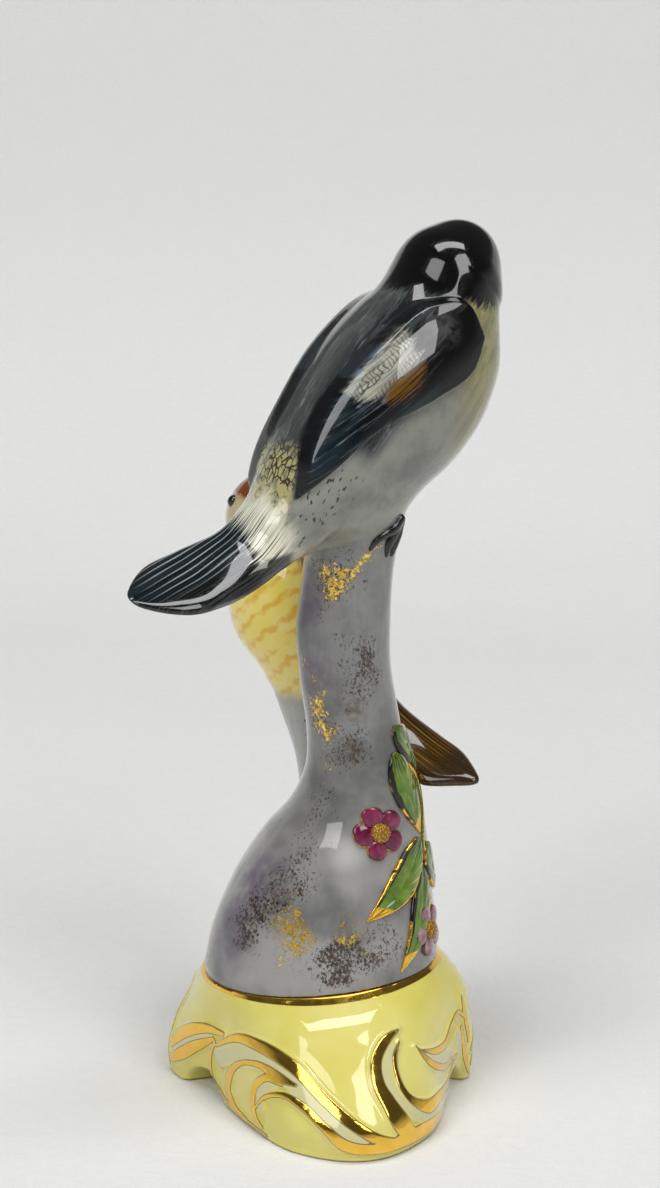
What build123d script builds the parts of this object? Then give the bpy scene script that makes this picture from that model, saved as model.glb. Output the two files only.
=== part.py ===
from build123d import *
from math import cos, radians, sin
import os

# Porcelain figurine: two small birds on a forked branch that grows out of a lobed rococo plinth.
# Millimetres, +Z up. The origin is the middle of the plinth's flat foot. +X is the figurine's
# right as it is shown, and the tall branch, with the dark bird, stands in front (-Y) of the
# short one, with the yellow bird.

# ---- driving dimensions -------------------------------------------------------------------
plinth_top = 23.5            # height of the joint between plinth and branch, on the axis
plinth_top_tilt = 4.5        # the joint rises towards +X, degrees
plinth_top_radius = 22.0
plinth_top_depth = 0.9       # the joint's depth (Y) over its width (X)
foot_arch_radius = 6.0
vent_hole_diameter = 4.5
vent_hole_depth = 15.0
perch_height = 104.5         # top of the tall branch, under the dark bird
short_perch_height = 71.5    # top of the short branch, under the yellow bird
wing_thickness = 1.5         # how far a folded wing stands off the body
leaf_thickness = 0.9         # relief of leaves and petals on the branch
eye_diameter = 2.6
toe_diameter = 1.8

os.makedirs("parts", exist_ok=True)


def save(piece, name):
    piece.part.label = name
    export_step(piece.part, f"parts/{name}.step")


# ---- plinth -------------------------------------------------------------------------------
# Each lobe or hollow of the outline: direction in degrees, radius at the foot and radius at
# the shoulder, 17 mm up.
plinth_lobes = [
    (0, 28.5, 27.5), (20, 26.0, 25.0), (42, 26.5, 24.0), (62, 34.0, 27.0), (84, 38.5, 28.5),
    (106, 35.0, 27.0), (128, 27.0, 24.0), (150, 24.0, 22.5), (172, 28.5, 24.5),
    (190, 25.0, 23.5), (208, 22.0, 22.0), (228, 23.5, 22.5), (246, 28.0, 25.0),
    (264, 35.5, 28.0), (283, 39.5, 29.0), (303, 35.0, 28.0), (325, 28.0, 26.0),
    (344, 26.0, 26.0),
]
# Up the plinth: height, then how much of the foot, the shoulder and the top ring each gives.
plinth_levels = [(0, 0.96, 0, 0.04), (5, 1.0, 0, 0), (11, 0.5, 0.52, 0), (17, 0, 1.0, 0), (21, 0, 0.5, 0.5)]


def plinth_outline(foot_share, shoulder_share, ring_share):
    """The lobed outline at one level, as a closed smooth curve."""
    outline = []
    for angle, foot, shoulder in plinth_lobes:
        across, along = cos(radians(angle)), sin(radians(angle))
        lobe = foot * foot_share + shoulder * shoulder_share
        ring = plinth_top_radius * ring_share
        outline.append((across * (lobe + ring), along * (lobe + ring * plinth_top_depth)))
    Spline(*outline, periodic=True)


def tilted_level(height, tilt):
    return Plane(origin=(0, 0, height), z_dir=(-sin(radians(tilt)), 0, cos(radians(tilt))))


with BuildPart() as plinth:
    for height, foot_share, shoulder_share, ring_share in plinth_levels:
        with BuildSketch(tilted_level(height, plinth_top_tilt * height / plinth_top * 0.5)):
            with BuildLine():
                plinth_outline(foot_share, shoulder_share, ring_share)
            make_face()
    with BuildSketch(tilted_level(plinth_top, plinth_top_tilt)):
        with BuildLine():
            plinth_outline(0, 0, 1)
        make_face()
    loft()
    # low arches lift the rim between the lobes, so the plinth stands on four feet
    for angle in (200, 342, 32, 146):
        arch_mouth = Plane(
            origin=(30 * cos(radians(angle)), 30 * sin(radians(angle)), -foot_arch_radius * 0.35),
            z_dir=(cos(radians(angle)), sin(radians(angle)), 0),
        )
        with BuildSketch(arch_mouth):
            Circle(foot_arch_radius)
        extrude(amount=16, both=True, mode=Mode.SUBTRACT)
    with BuildSketch(Plane.XY):
        with Locations((0, 8)):
            Circle(vent_hole_diameter / 2)
    extrude(amount=vent_hole_depth, mode=Mode.SUBTRACT)
save(plinth, "plinth")

# ---- branch -------------------------------------------------------------------------------
# Up each branch: height, middle (x, y), half width (x), half depth (y), tilt of the level.
trunk_levels = [
    (plinth_top, 0.4, 0, 21.7, 19.5, plinth_top_tilt),
    (31, 1.0, 0.3, 20.5, 18.5, 3), (40, 2.6, 1.5, 18.0, 16.8, 1.5), (48, 4.8, 2.0, 15.0, 14.8, 0),
    (54, 6.8, 1.5, 12.1, 12.5, 0), (61, 7.2, 0.5, 9.7, 10.0, 0), (68, 6.4, 0, 8.7, 9.0, 0),
    (78, 5.0, 0, 8.6, 8.6, 0), (88, 4.5, 0, 8.5, 8.3, 0), (97, 5.2, 0, 8.2, 8.0, 0),
    (perch_height, 6.4, 0.3, 8.2, 7.8, 0),
]
short_branch_levels = [
    (40, 4.0, 9.0, 8.0, 8.0, 0), (50, 3.8, 14.5, 7.4, 7.4, 0), (58, 2.2, 19.0, 7.0, 7.0, 0),
    (65, -0.6, 22.0, 6.8, 6.8, 0), (short_perch_height, -2.6, 23.4, 7.2, 7.2, 0),
]


def branch_levels(levels, growth=0.0):
    """A branch's levels as sketches; growth makes it fatter by that much all round."""
    sketches = []
    for height, middle_x, middle_y, half_width, half_depth, tilt in levels:
        with BuildSketch(tilted_level(height, tilt)) as level:
            with Locations((middle_x, middle_y)):
                Ellipse(half_width + growth, half_depth + growth)
        sketches.append(level.sketch)
    return sketches


with BuildPart() as trunk:
    loft(branch_levels(trunk_levels))
save(trunk, "trunk")

with BuildPart() as short_branch:
    loft(branch_levels(short_branch_levels))
    add(trunk.part, mode=Mode.SUBTRACT)
save(short_branch, "short_branch")

# ---- flowers and leaves on the branch --------------------------------------------------------
# They are thin slips of clay pressed onto the branch, so each is what its outline leaves of a
# slightly fatter branch once the branch itself is taken out.
garland_facing = -45          # the spray hangs on the branch's right front
flower_facings = [(-67, 51.5), (-24, 33.0)]   # direction and height of each flower
petal_count = 5
petal_radius = 1.7
petal_ring_radius = 3.0
flower_centre_radius = 1.25
garland_leaves = [            # where each leaf starts and ends, and its half width
    ((3.8, 72.0), (8.9, 60.5), 1.8), ((1.0, 67.5), (3.4, 50.5), 2.5),
    ((5.2, 48.5), (-5.4, 37.5), 2.5), ((5.4, 42.0), (-3.2, 26.5), 2.2),
    ((7.8, 48.5), (13.4, 39.0), 1.7),
]
garland_stem = [(2.6, 76.0), (4.6, 66.0), (5.9, 57.0), (6.6, 48.0), (6.7, 41.0), (6.0, 37.0)]
stem_width = 0.9


def facing_plane(direction, height=0.0):
    """An upright plane through the branch's axis that faces the given way."""
    outward = (cos(radians(direction)), sin(radians(direction)), 0)
    sideways = (-outward[1], outward[0], 0)
    return Plane(origin=(5.0, 0, height), x_dir=sideways, z_dir=outward)


def leaf_outline(start, end, half_width):
    middle = (Vector(*start) + Vector(*end)) / 2
    aside = (Vector(*end) - Vector(*start)).normalized().rotate(Axis.Z, 90) * half_width
    ThreePointArc(start, tuple(middle + aside)[:2], end)
    ThreePointArc(end, tuple(middle - aside)[:2], start)


with BuildPart() as leaf_skin:
    loft(branch_levels(trunk_levels, leaf_thickness))
    add(trunk.part, mode=Mode.SUBTRACT)
    with BuildSketch(Plane.XY.offset(plinth_top + 2.2)):
        Rectangle(90, 90)
    extrude(amount=perch_height - plinth_top - 4, mode=Mode.INTERSECT)

with BuildPart() as leaves:
    with BuildSketch(facing_plane(garland_facing)):
        for start, end, half_width in garland_leaves:
            with BuildLine():
                leaf_outline(start, end, half_width)
            make_face()
    extrude(amount=40)
    add(leaf_skin.part, mode=Mode.INTERSECT)
save(leaves, "leaves")

with BuildPart() as stem:
    with BuildSketch(facing_plane(garland_facing)):
        with BuildLine():
            Spline(*garland_stem)
        trace(line_width=stem_width)
    extrude(amount=40)
    add(leaf_skin.part, mode=Mode.INTERSECT)
    add(leaves.part, mode=Mode.SUBTRACT)
save(stem, "stem")

with BuildPart() as flower_petals:
    for direction, height in flower_facings:
        with BuildSketch(facing_plane(direction, height)):
            with PolarLocations(petal_ring_radius, petal_count, start_angle=90):
                Circle(petal_radius)
            Circle(flower_centre_radius, mode=Mode.SUBTRACT)
        extrude(amount=40)
    add(leaf_skin.part, mode=Mode.INTERSECT)
    add(leaves.part, mode=Mode.SUBTRACT)
    add(stem.part, mode=Mode.SUBTRACT)
save(flower_petals, "flower_petals")

with BuildPart() as flower_centres:
    for direction, height in flower_facings:
        with BuildSketch(facing_plane(direction, height)):
            Circle(flower_centre_radius)
        extrude(amount=40)
    add(leaf_skin.part, mode=Mode.INTERSECT)
    add(leaves.part, mode=Mode.SUBTRACT)
    add(stem.part, mode=Mode.SUBTRACT)
save(flower_centres, "flower_centres")

# ---- birds --------------------------------------------------------------------------------
# Each bird is laid out in its own frame: forward (x), left (y) and up (z), above its feet.
dark_bird = Plane(origin=(8, 0, 0), x_dir=(cos(radians(37)), sin(radians(37)), 0))
yellow_bird = Plane(origin=(-3, 23, 0), x_dir=(-cos(radians(35)), sin(radians(35)), 0))

# Along each body and tail: forward, up, half thickness, half width, lean of the section.
dark_body = [
    (-22.5, 105.6, 4.0, 5.6, 20), (-17.5, 108.8, 6.8, 8.2, 30), (-11.5, 113.2, 10.8, 11.2, 40),
    (-3, 119.9, 14.3, 13.6, 47), (5.7, 127.6, 16.2, 15.0, 50), (13, 134.9, 15.2, 14.3, 52),
    (18.3, 141.6, 12.3, 11.8, 60), (20, 148, 9.0, 9.0, 80),
]
dark_tail = [
    (-18.5, 107, 4.0, 6.2, 15), (-27, 103, 3.0, 7.0, 15), (-35.5, 100.5, 2.5, 7.8, 12),
    (-43, 99.2, 2.1, 6.8, 10), (-48, 98.8, 1.2, 3.8, 10),
]
dark_head = (20, 149.6)
yellow_body = [
    (-13.5, 71.8, 4.5, 6.0, 35), (-9.5, 75, 8.0, 9.0, 42), (-4, 80.3, 12.0, 12.0, 50),
    (1, 86.6, 14.0, 13.3, 56), (4.5, 93, 12.5, 12.0, 62), (6.5, 98.5, 9.0, 9.2, 75),
]
yellow_tail = [
    (-11, 71, 4.0, 5.5, 38), (-19, 64.7, 2.8, 5.6, 34), (-26.5, 60.5, 2.2, 6.0, 26),
    (-32.5, 58.5, 1.8, 5.8, 18), (-36.5, 57.8, 1.1, 4.0, 10),
]
yellow_head = (7.0, 101.5)
tail_roll = 26                # each tail's near edge hangs lower than its far one, degrees
head_radius = 9.1
dark_face = 92                # where each bird looks, degrees from +X
yellow_face = 122
eye_spread = 78               # each eye is this far round from the beak
eye_height = 25
beak_length = 6.5
beak_radius = 2.3


def bird_sections(bird, levels, roll=0.0, growth=0.0, widening=0.0):
    """Ellipses square to a bird's body or tail, from back to front."""
    sketches = []
    for forward, up, half_thickness, half_width, lean in levels:
        across_body = Plane(
            origin=bird.from_local_coords((forward, 0, up)),
            x_dir=bird.y_dir,
            z_dir=bird.x_dir * cos(radians(lean)) + bird.z_dir * sin(radians(lean)),
        )
        with BuildSketch(across_body) as section:
            Ellipse(half_width + growth + widening, half_thickness + growth, rotation=roll)
        sketches.append(section.sketch)
    return sketches


def side_plane(bird):
    """Upright plane down the middle of a bird: forward and up in it, its right side out of it."""
    return Plane(origin=bird.origin, x_dir=bird.x_dir, z_dir=bird.y_dir * -1)


# One wing's outline, from the tip over its back edge to the shoulder and home along its front
# edge: shares of its length, along from the shoulder and across towards the back.
wing_back_edge = [(1, 0), (0.85, 0.12), (0.64, 0.21), (0.33, 0.26), (0.08, 0.235), (-0.03, 0.155), (0, 0)]
wing_front_edge = [(0, 0), (0.15, -0.05), (0.35, -0.015), (0.6, 0.035), (0.83, 0.02), (1, 0)]
dark_wing = ((16.6, 139.5), (-20.4, 113.0))      # shoulder and tip
yellow_wing = ((8.0, 93.0), (-16.0, 69.5))


def wing_points(edge, shoulder, tip):
    run = Vector(*tip) - Vector(*shoulder)
    towards_back = run.rotate(Axis.Z, -90)
    points = [Vector(*shoulder) + run * along + towards_back * across for along, across in edge]
    return [(point.X, point.Y) for point in points]


def wing_outline(shoulder, tip):
    """A folded wing seen from the bird's side, as a closed outline with a sharp tip."""
    Spline(*wing_points(wing_back_edge, shoulder, tip))
    Spline(*wing_points(wing_front_edge, shoulder, tip))


def folded_wing(bird, levels, wing, side, neighbours):
    """A wing that lies on the bird's side: side is 1 for the right wing and -1 for the left."""
    with BuildPart() as piece:
        loft(bird_sections(bird, levels, growth=wing_thickness))
        with BuildSketch(side_plane(bird)):
            with BuildLine():
                wing_outline(*wing)
            make_face()
        extrude(amount=30 * side, mode=Mode.INTERSECT)
        for neighbour in neighbours:
            add(neighbour.part, mode=Mode.SUBTRACT)
    return piece


def toes(middle, radius, top, facing):
    """Six toes that grip a round perch: three to each foot, hooked over its rim."""
    with BuildPart() as piece:
        for toe in (57, 77, 97, -57, -77, -97):
            around = radians(facing + toe)
            out = Vector(cos(around), sin(around), 0)
            centre = Vector(*middle, 0)
            start = centre + out * (radius - 1.5) + Vector(0, 0, top + 1.5)
            knuckle = centre + out * (radius + 0.6) + Vector(0, 0, top)
            claw = centre + out * (radius + 0.5) + Vector(0, 0, top - 3.4)
            with BuildLine():
                grip = ThreePointArc(start, knuckle, claw)
            with BuildSketch(Plane(origin=start, z_dir=grip % 0)):
                Circle(toe_diameter / 2)
            sweep(path=grip)
    return piece


def head_point(bird, head, azimuth, elevation, distance):
    """A point at a distance from the middle of a head, in the given direction."""
    flat = distance * cos(radians(elevation))
    offset = Vector(cos(radians(azimuth)) * flat, sin(radians(azimuth)) * flat, distance * sin(radians(elevation)))
    return bird.from_local_coords((head[0], 0, head[1])) + offset


def beak(bird, head, face):
    """A short cone that starts inside the head and points where the bird looks."""
    start = head_point(bird, head, face, 0, head_radius - 2)
    towards = Vector(cos(radians(face)), sin(radians(face)), -0.12)
    with BuildPart() as piece:
        with BuildSketch(Plane(origin=start, z_dir=towards)):
            Circle(beak_radius)
        with BuildSketch(Plane(origin=start + towards.normalized() * (beak_length + 2), z_dir=towards)):
            Circle(0.35)
        loft()
    return piece


def eyes(bird, head, face):
    with BuildPart() as piece:
        for spread in (eye_spread, -eye_spread):
            with Locations(head_point(bird, head, face + spread, eye_height, head_radius - 0.3)):
                Sphere(eye_diameter / 2)
    return piece


# The dark bird, on the tall branch.
with BuildPart() as upper_body:
    loft(bird_sections(dark_bird, dark_body))
    add(trunk.part, mode=Mode.SUBTRACT)
save(upper_body, "upper_body")

with BuildPart() as upper_head:
    with Locations(dark_bird.from_local_coords((dark_head[0], 0, dark_head[1]))):
        Sphere(head_radius)
    add(upper_body.part, mode=Mode.SUBTRACT)
save(upper_head, "upper_head")

with BuildPart() as upper_tail:
    loft(bird_sections(dark_bird, dark_tail, roll=tail_roll))
    add(upper_body.part, mode=Mode.SUBTRACT)
save(upper_tail, "upper_tail")

for name, side in (("upper_right_wing", 1), ("upper_left_wing", -1)):
    save(folded_wing(dark_bird, dark_body, dark_wing, side, (upper_body, upper_head, upper_tail)), name)

with BuildPart() as upper_beak:
    add(beak(dark_bird, dark_head, dark_face).part)
    add(upper_head.part, mode=Mode.SUBTRACT)
    add(upper_body.part, mode=Mode.SUBTRACT)
save(upper_beak, "upper_beak")

with BuildPart() as upper_eyes:
    add(eyes(dark_bird, dark_head, dark_face).part)
    add(upper_head.part, mode=Mode.SUBTRACT)
save(upper_eyes, "upper_eyes")

with BuildPart() as upper_feet:
    add(toes((6.4, 0.3), 8.1, perch_height, 37).part)
    add(upper_body.part, mode=Mode.SUBTRACT)
    add(trunk.part, mode=Mode.SUBTRACT)
save(upper_feet, "upper_feet")

# The yellow bird, on the short branch behind.
with BuildPart() as lower_body:
    loft(bird_sections(yellow_bird, yellow_body))
    add(short_branch.part, mode=Mode.SUBTRACT)
    add(trunk.part, mode=Mode.SUBTRACT)
save(lower_body, "lower_body")

with BuildPart() as lower_head:
    with Locations(yellow_bird.from_local_coords((yellow_head[0], 0, yellow_head[1]))):
        Sphere(head_radius)
    add(lower_body.part, mode=Mode.SUBTRACT)
save(lower_head, "lower_head")

with BuildPart() as lower_tail:
    loft(bird_sections(yellow_bird, yellow_tail, roll=-tail_roll))
    add(lower_body.part, mode=Mode.SUBTRACT)
    add(short_branch.part, mode=Mode.SUBTRACT)
    add(trunk.part, mode=Mode.SUBTRACT)
save(lower_tail, "lower_tail")

yellow_neighbours = (lower_body, lower_head, lower_tail, trunk, short_branch)
for name, side in (("lower_right_wing", 1), ("lower_left_wing", -1)):
    save(folded_wing(yellow_bird, yellow_body, yellow_wing, side, yellow_neighbours), name)

with BuildPart() as lower_beak:
    add(beak(yellow_bird, yellow_head, yellow_face).part)
    add(lower_head.part, mode=Mode.SUBTRACT)
    add(lower_body.part, mode=Mode.SUBTRACT)
save(lower_beak, "lower_beak")

with BuildPart() as lower_eyes:
    add(eyes(yellow_bird, yellow_head, yellow_face).part)
    add(lower_head.part, mode=Mode.SUBTRACT)
save(lower_eyes, "lower_eyes")

with BuildPart() as lower_feet:
    add(toes((-2.6, 23.4), 7.2, short_perch_height, 145).part)
    add(lower_body.part, mode=Mode.SUBTRACT)
    add(short_branch.part, mode=Mode.SUBTRACT)
    add(trunk.part, mode=Mode.SUBTRACT)
save(lower_feet, "lower_feet")
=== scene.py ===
from math import cos, pi, radians, sin, tan

import bmesh
import bpy
import numpy as np
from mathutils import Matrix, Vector


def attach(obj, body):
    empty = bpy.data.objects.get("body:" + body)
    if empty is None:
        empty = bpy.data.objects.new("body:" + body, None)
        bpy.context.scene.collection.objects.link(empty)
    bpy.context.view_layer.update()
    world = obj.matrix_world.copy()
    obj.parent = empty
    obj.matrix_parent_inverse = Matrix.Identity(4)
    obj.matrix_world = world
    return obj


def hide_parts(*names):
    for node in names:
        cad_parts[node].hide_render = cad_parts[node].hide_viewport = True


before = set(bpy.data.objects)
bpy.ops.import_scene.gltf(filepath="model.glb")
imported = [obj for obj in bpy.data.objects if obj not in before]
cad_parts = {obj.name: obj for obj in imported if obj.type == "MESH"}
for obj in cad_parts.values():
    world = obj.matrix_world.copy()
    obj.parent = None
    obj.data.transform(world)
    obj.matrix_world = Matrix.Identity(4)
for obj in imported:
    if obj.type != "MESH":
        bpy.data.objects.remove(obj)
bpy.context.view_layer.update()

# ==== plinth ===================================================================================
# A lobed rococo foot, slip-cast in porcelain, glazed cream-yellow, with raised scrolls that are
# picked out in bright gold. It stands on four lobes with low arches between them.
MM = 0.001
GRAIN = 0.36        # spacing of the clay's surface, mm
FINE_GRAIN, FINEST_GRAIN = GRAIN * 0.8, GRAIN * 0.5
AT_ONCE = 400000                            # places worked out together, to spare memory


def eased(knots, values, at):
    """Values at any places along a smooth curve through the knots."""
    knots = np.asarray(knots, float)
    values = np.asarray(values, float)
    slopes = np.gradient(values, knots, axis=0)
    i = np.clip(np.searchsorted(knots, at) - 1, 0, len(knots) - 2)
    span = knots[i + 1] - knots[i]
    t = np.clip((at - knots[i]) / span, 0, 1)[:, None]
    span = span[:, None]
    return (
        values[i] * (1 + 2 * t) * (1 - t) ** 2
        + slopes[i] * span * t * (1 - t) ** 2
        + values[i + 1] * t * t * (3 - 2 * t)
        - slopes[i + 1] * span * t * t * (1 - t)
    )


def merged(a, b, softness):
    """Two clay bodies pressed together, with a fillet of the given softness in the joint."""
    near = np.maximum(softness - np.abs(a - b), 0) / softness
    return np.minimum(a, b) - near * near * softness / 4


def trimmed(a, b, softness):
    """What two bodies share, with the edge between them rounded."""
    return -merged(-a, -b, softness)


def ramp(value, start, end):
    t = np.clip((value - start) / (end - start), 0, 1)
    return t * t * (3 - 2 * t)


def steepest(body, points, step=0.06):
    """How far each point is outside the body, and the direction that leads straight out."""
    slopes = []
    for axis in np.eye(3):
        slopes.append((body(points + axis * step) - body(points - axis * step)) / (2 * step))
    return body(points), np.stack(slopes, axis=1)


def grid_of(counts):
    """The numbered cells of a grid."""
    return np.stack(np.meshgrid(*[np.arange(n) for n in counts], indexing="ij"), -1)


def skin(body, low, high, grain):
    """The body's surface inside a box, as points and four-sided faces on a grid of cells."""
    first = np.floor(np.array(low) / grain).astype(int)
    count = np.ceil(np.array(high) / grain).astype(int) - first + 1
    # Blocks of cells whose middle is far from the surface only need to be inside or outside.
    coarse, margin, far = 4, 1.6, 9.0
    blocks = count // coarse + 2
    centre = grid_of(blocks).reshape(-1, 3)
    centre_mm = (first + centre * coarse + coarse / 2) * grain
    middle_depth = body(centre_mm)
    near = np.abs(middle_depth) < coarse * grain * margin
    depth = np.empty(blocks * coarse)
    inner = grid_of([coarse] * 3).reshape(-1, 3)
    for corner in inner:
        depth[tuple((centre * coarse + corner).T)] = np.where(middle_depth > 0, far, -far)
    cells = (centre[near][:, None] * coarse + inner[None]).reshape(-1, 3)
    for some in np.array_split(cells, max(1, len(cells) // AT_ONCE)):
        depth[tuple(some.T)] = body((first + some) * grain)
    total = np.zeros(depth.shape + (3,))
    hits = np.zeros(depth.shape)
    crossings = []
    for axis in range(3):
        ahead = [slice(None)] * 3
        here = [slice(None)] * 3
        ahead[axis] = slice(1, None)
        here[axis] = slice(None, -1)
        a, b = depth[tuple(here)], depth[tuple(ahead)]
        at = np.argwhere((a < 0) != (b < 0))
        inward = a[tuple(at.T)] < 0
        share = a[tuple(at.T)] / (a[tuple(at.T)] - b[tuple(at.T)])
        place = at.astype(float)
        place[:, axis] += share
        side_a, side_b = [other for other in range(3) if other != axis]
        ring = []
        for back_a, back_b in ((0, 0), (1, 0), (1, 1), (0, 1)):
            cell = at.copy()
            cell[:, side_a] -= back_a
            cell[:, side_b] -= back_b
            np.add.at(total, tuple(cell.T), place)
            np.add.at(hits, tuple(cell.T), 1)
            ring.append(cell)
        if axis == 1:
            inward = ~inward
        crossings.append((ring, inward))
    used = np.argwhere(hits > 0)
    number = np.full(depth.shape, -1)
    number[tuple(used.T)] = np.arange(len(used))
    points = (first + total[tuple(used.T)] / hits[tuple(used.T)][:, None]) * grain
    faces = []
    for ring, inward in crossings:
        quad = np.stack([number[tuple(cell.T)] for cell in ring], axis=1)
        quad[~inward] = quad[~inward][:, ::-1]
        faces.append(quad)
    return points, np.concatenate(faces)


def fettled(body, points, faces):
    """Even out the surface's points and bring each one exactly onto the body."""
    pairs = np.concatenate([faces[:, [0, 1]], faces[:, [1, 2]], faces[:, [2, 3]], faces[:, [3, 0]]])
    longest_step = 0.5
    for evening in (0.5, 0.5, 0.0, 0.0):
        if evening:
            spread = np.zeros_like(points)
            shares = np.zeros(len(points))
            for a, b in (pairs.T, pairs.T[::-1]):
                np.add.at(spread, a, points[b])
                np.add.at(shares, a, 1)
            points = points + evening * (spread / shares[:, None] - points)
        out, way = steepest(body, points)
        step = out[:, None] * way / np.maximum((way * way).sum(1), 0.05)[:, None]
        points = points - np.clip(step, -longest_step, longest_step)
    return points


def cast(name, body, low, high, cuts=(), grain=GRAIN):
    """Cast a body in porcelain as a closed piece. Each cut is a plane, point and normal, that the
    piece keeps the far side of, and an upright axis and radius that limit where it cuts."""
    points, faces = skin(body, low, high, grain)
    points = fettled(body, points, faces)
    mesh = bpy.data.meshes.new(name)
    mesh.from_pydata(points * MM, [], faces.tolist())
    mesh.update()
    if cuts:
        bm = bmesh.new()
        bm.from_mesh(mesh)
        for point, normal, axis, radius in cuts:
            point, normal = Vector(point) * MM, Vector(normal).normalized()
            everything = bm.verts[:] + bm.edges[:] + bm.faces[:]
            bmesh.ops.bisect_plane(bm, geom=everything, plane_co=point, plane_no=normal, dist=1e-6)
            waste = []
            for face in bm.faces:
                middle = face.calc_center_median()
                off_axis = Vector((middle.x - axis[0] * MM, middle.y - axis[1] * MM)).length
                if off_axis < radius * MM and (middle - point).dot(normal) < 0:
                    waste.append(face)
            bmesh.ops.delete(bm, geom=waste, context="FACES")
            rim = [edge for edge in bm.edges if edge.is_boundary]
            bmesh.ops.holes_fill(bm, edges=rim, sides=0)
        bm.to_mesh(mesh)
        bm.free()
    piece = bpy.data.objects.new(name, mesh)
    bpy.context.collection.objects.link(piece)
    mesh.polygons.foreach_set("use_smooth", [True] * len(mesh.polygons))
    places = surface(piece)
    _, way = steepest(body, places)
    way /= np.linalg.norm(way, axis=1)[:, None]
    mesh.normals_split_custom_set_from_vertices(way.tolist())
    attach(piece, "root")
    return piece


def surface(piece):
    """A piece's points in mm."""
    flat = np.empty(len(piece.data.vertices) * 3)
    piece.data.vertices.foreach_get("co", flat)
    return flat.reshape(-1, 3) / MM


def note(piece, name, values):
    """Keep a value or three for each point of a piece, for its paint to read."""
    values = np.asarray(values, float)
    kind = "FLOAT" if values.ndim == 1 else "FLOAT_VECTOR"
    layer = piece.data.attributes.new(name, kind, "POINT")
    layer.data.foreach_set("value" if values.ndim == 1 else "vector", values.ravel())


plinth_height = 23.5
joint_tilt = 4.5                 # the joint with the branch rises to the right, degrees
joint_radius = 22.0
joint_depth = 0.9
arch_radius = 6.0
arch_bearings = (200, 342, 32, 146)
arch_start = 14                  # how far out from the middle the arches begin
relief_height = 0.6              # how far the scrolls stand up
ring_level = 22.35               # where the gold line round the joint begins
# Each lobe or hollow: bearing in degrees, radius at the foot and at the shoulder.
plinth_lobes = [
    (0, 28.5, 27.5), (20, 26.0, 25.0), (42, 26.5, 24.0), (62, 34.0, 27.0), (84, 38.5, 28.5),
    (106, 35.0, 27.0), (128, 27.0, 24.0), (150, 24.0, 22.5), (172, 28.5, 24.5),
    (190, 25.0, 23.5), (208, 22.0, 22.0), (228, 23.5, 22.5), (246, 28.0, 25.0),
    (264, 35.5, 28.0), (283, 39.5, 29.0), (303, 35.0, 28.0), (325, 28.0, 26.0),
    (344, 26.0, 26.0),
]
# Up the plinth: height, and how much of the foot, the shoulder and the joint's ring each gives.
plinth_rise = [
    (0, 0.97, 0, 0.03), (5, 1.0, 0, 0), (11, 0.5, 0.52, 0), (17, 0, 1.0, 0), (21, 0, 0.5, 0.5),
    (23.5, 0, 0, 1),
]
lobes = np.array(plinth_lobes, float)
wrapped_lobes = np.concatenate([lobes[-3:] - (360, 0, 0), lobes, lobes[:3] + (360, 0, 0)])


def plinth_level(x, z):
    """How far up the plinth a point is, allowing for the tilt of its levels."""
    return z - x * np.tan(np.radians(joint_tilt)) * np.clip(z / plinth_height, 0, 1) ** 2


def plinth_radius(bearing, level):
    foot, shoulder = eased(wrapped_lobes[:, 0], wrapped_lobes[:, 1:], bearing % 360).T
    rise = np.array(plinth_rise)
    of_foot, of_shoulder, of_ring = eased(rise[:, 0], rise[:, 1:], level).T
    turn = np.radians(bearing)
    ring = joint_radius * np.hypot(np.cos(turn), joint_depth * np.sin(turn))
    return foot * of_foot + shoulder * of_shoulder + ring * of_ring


def plinth_clay(points):
    x, y, z = points.T
    level = plinth_level(x, z)
    bearing = np.degrees(np.arctan2(y, x))
    side = (np.hypot(x, y) - plinth_radius(bearing, level)) * 0.85
    body = trimmed(side, level - plinth_height, 0.25)
    for arch in arch_bearings:
        out = x * cos(radians(arch)) + y * sin(radians(arch))
        aside = y * cos(radians(arch)) - x * sin(radians(arch))
        hollow = np.hypot(aside, z + arch_radius * 0.35) - arch_radius
        body = np.where(out > arch_start, trimmed(body, -hollow, 1.6), body)
    return trimmed(body, -z, 0.5)


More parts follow.
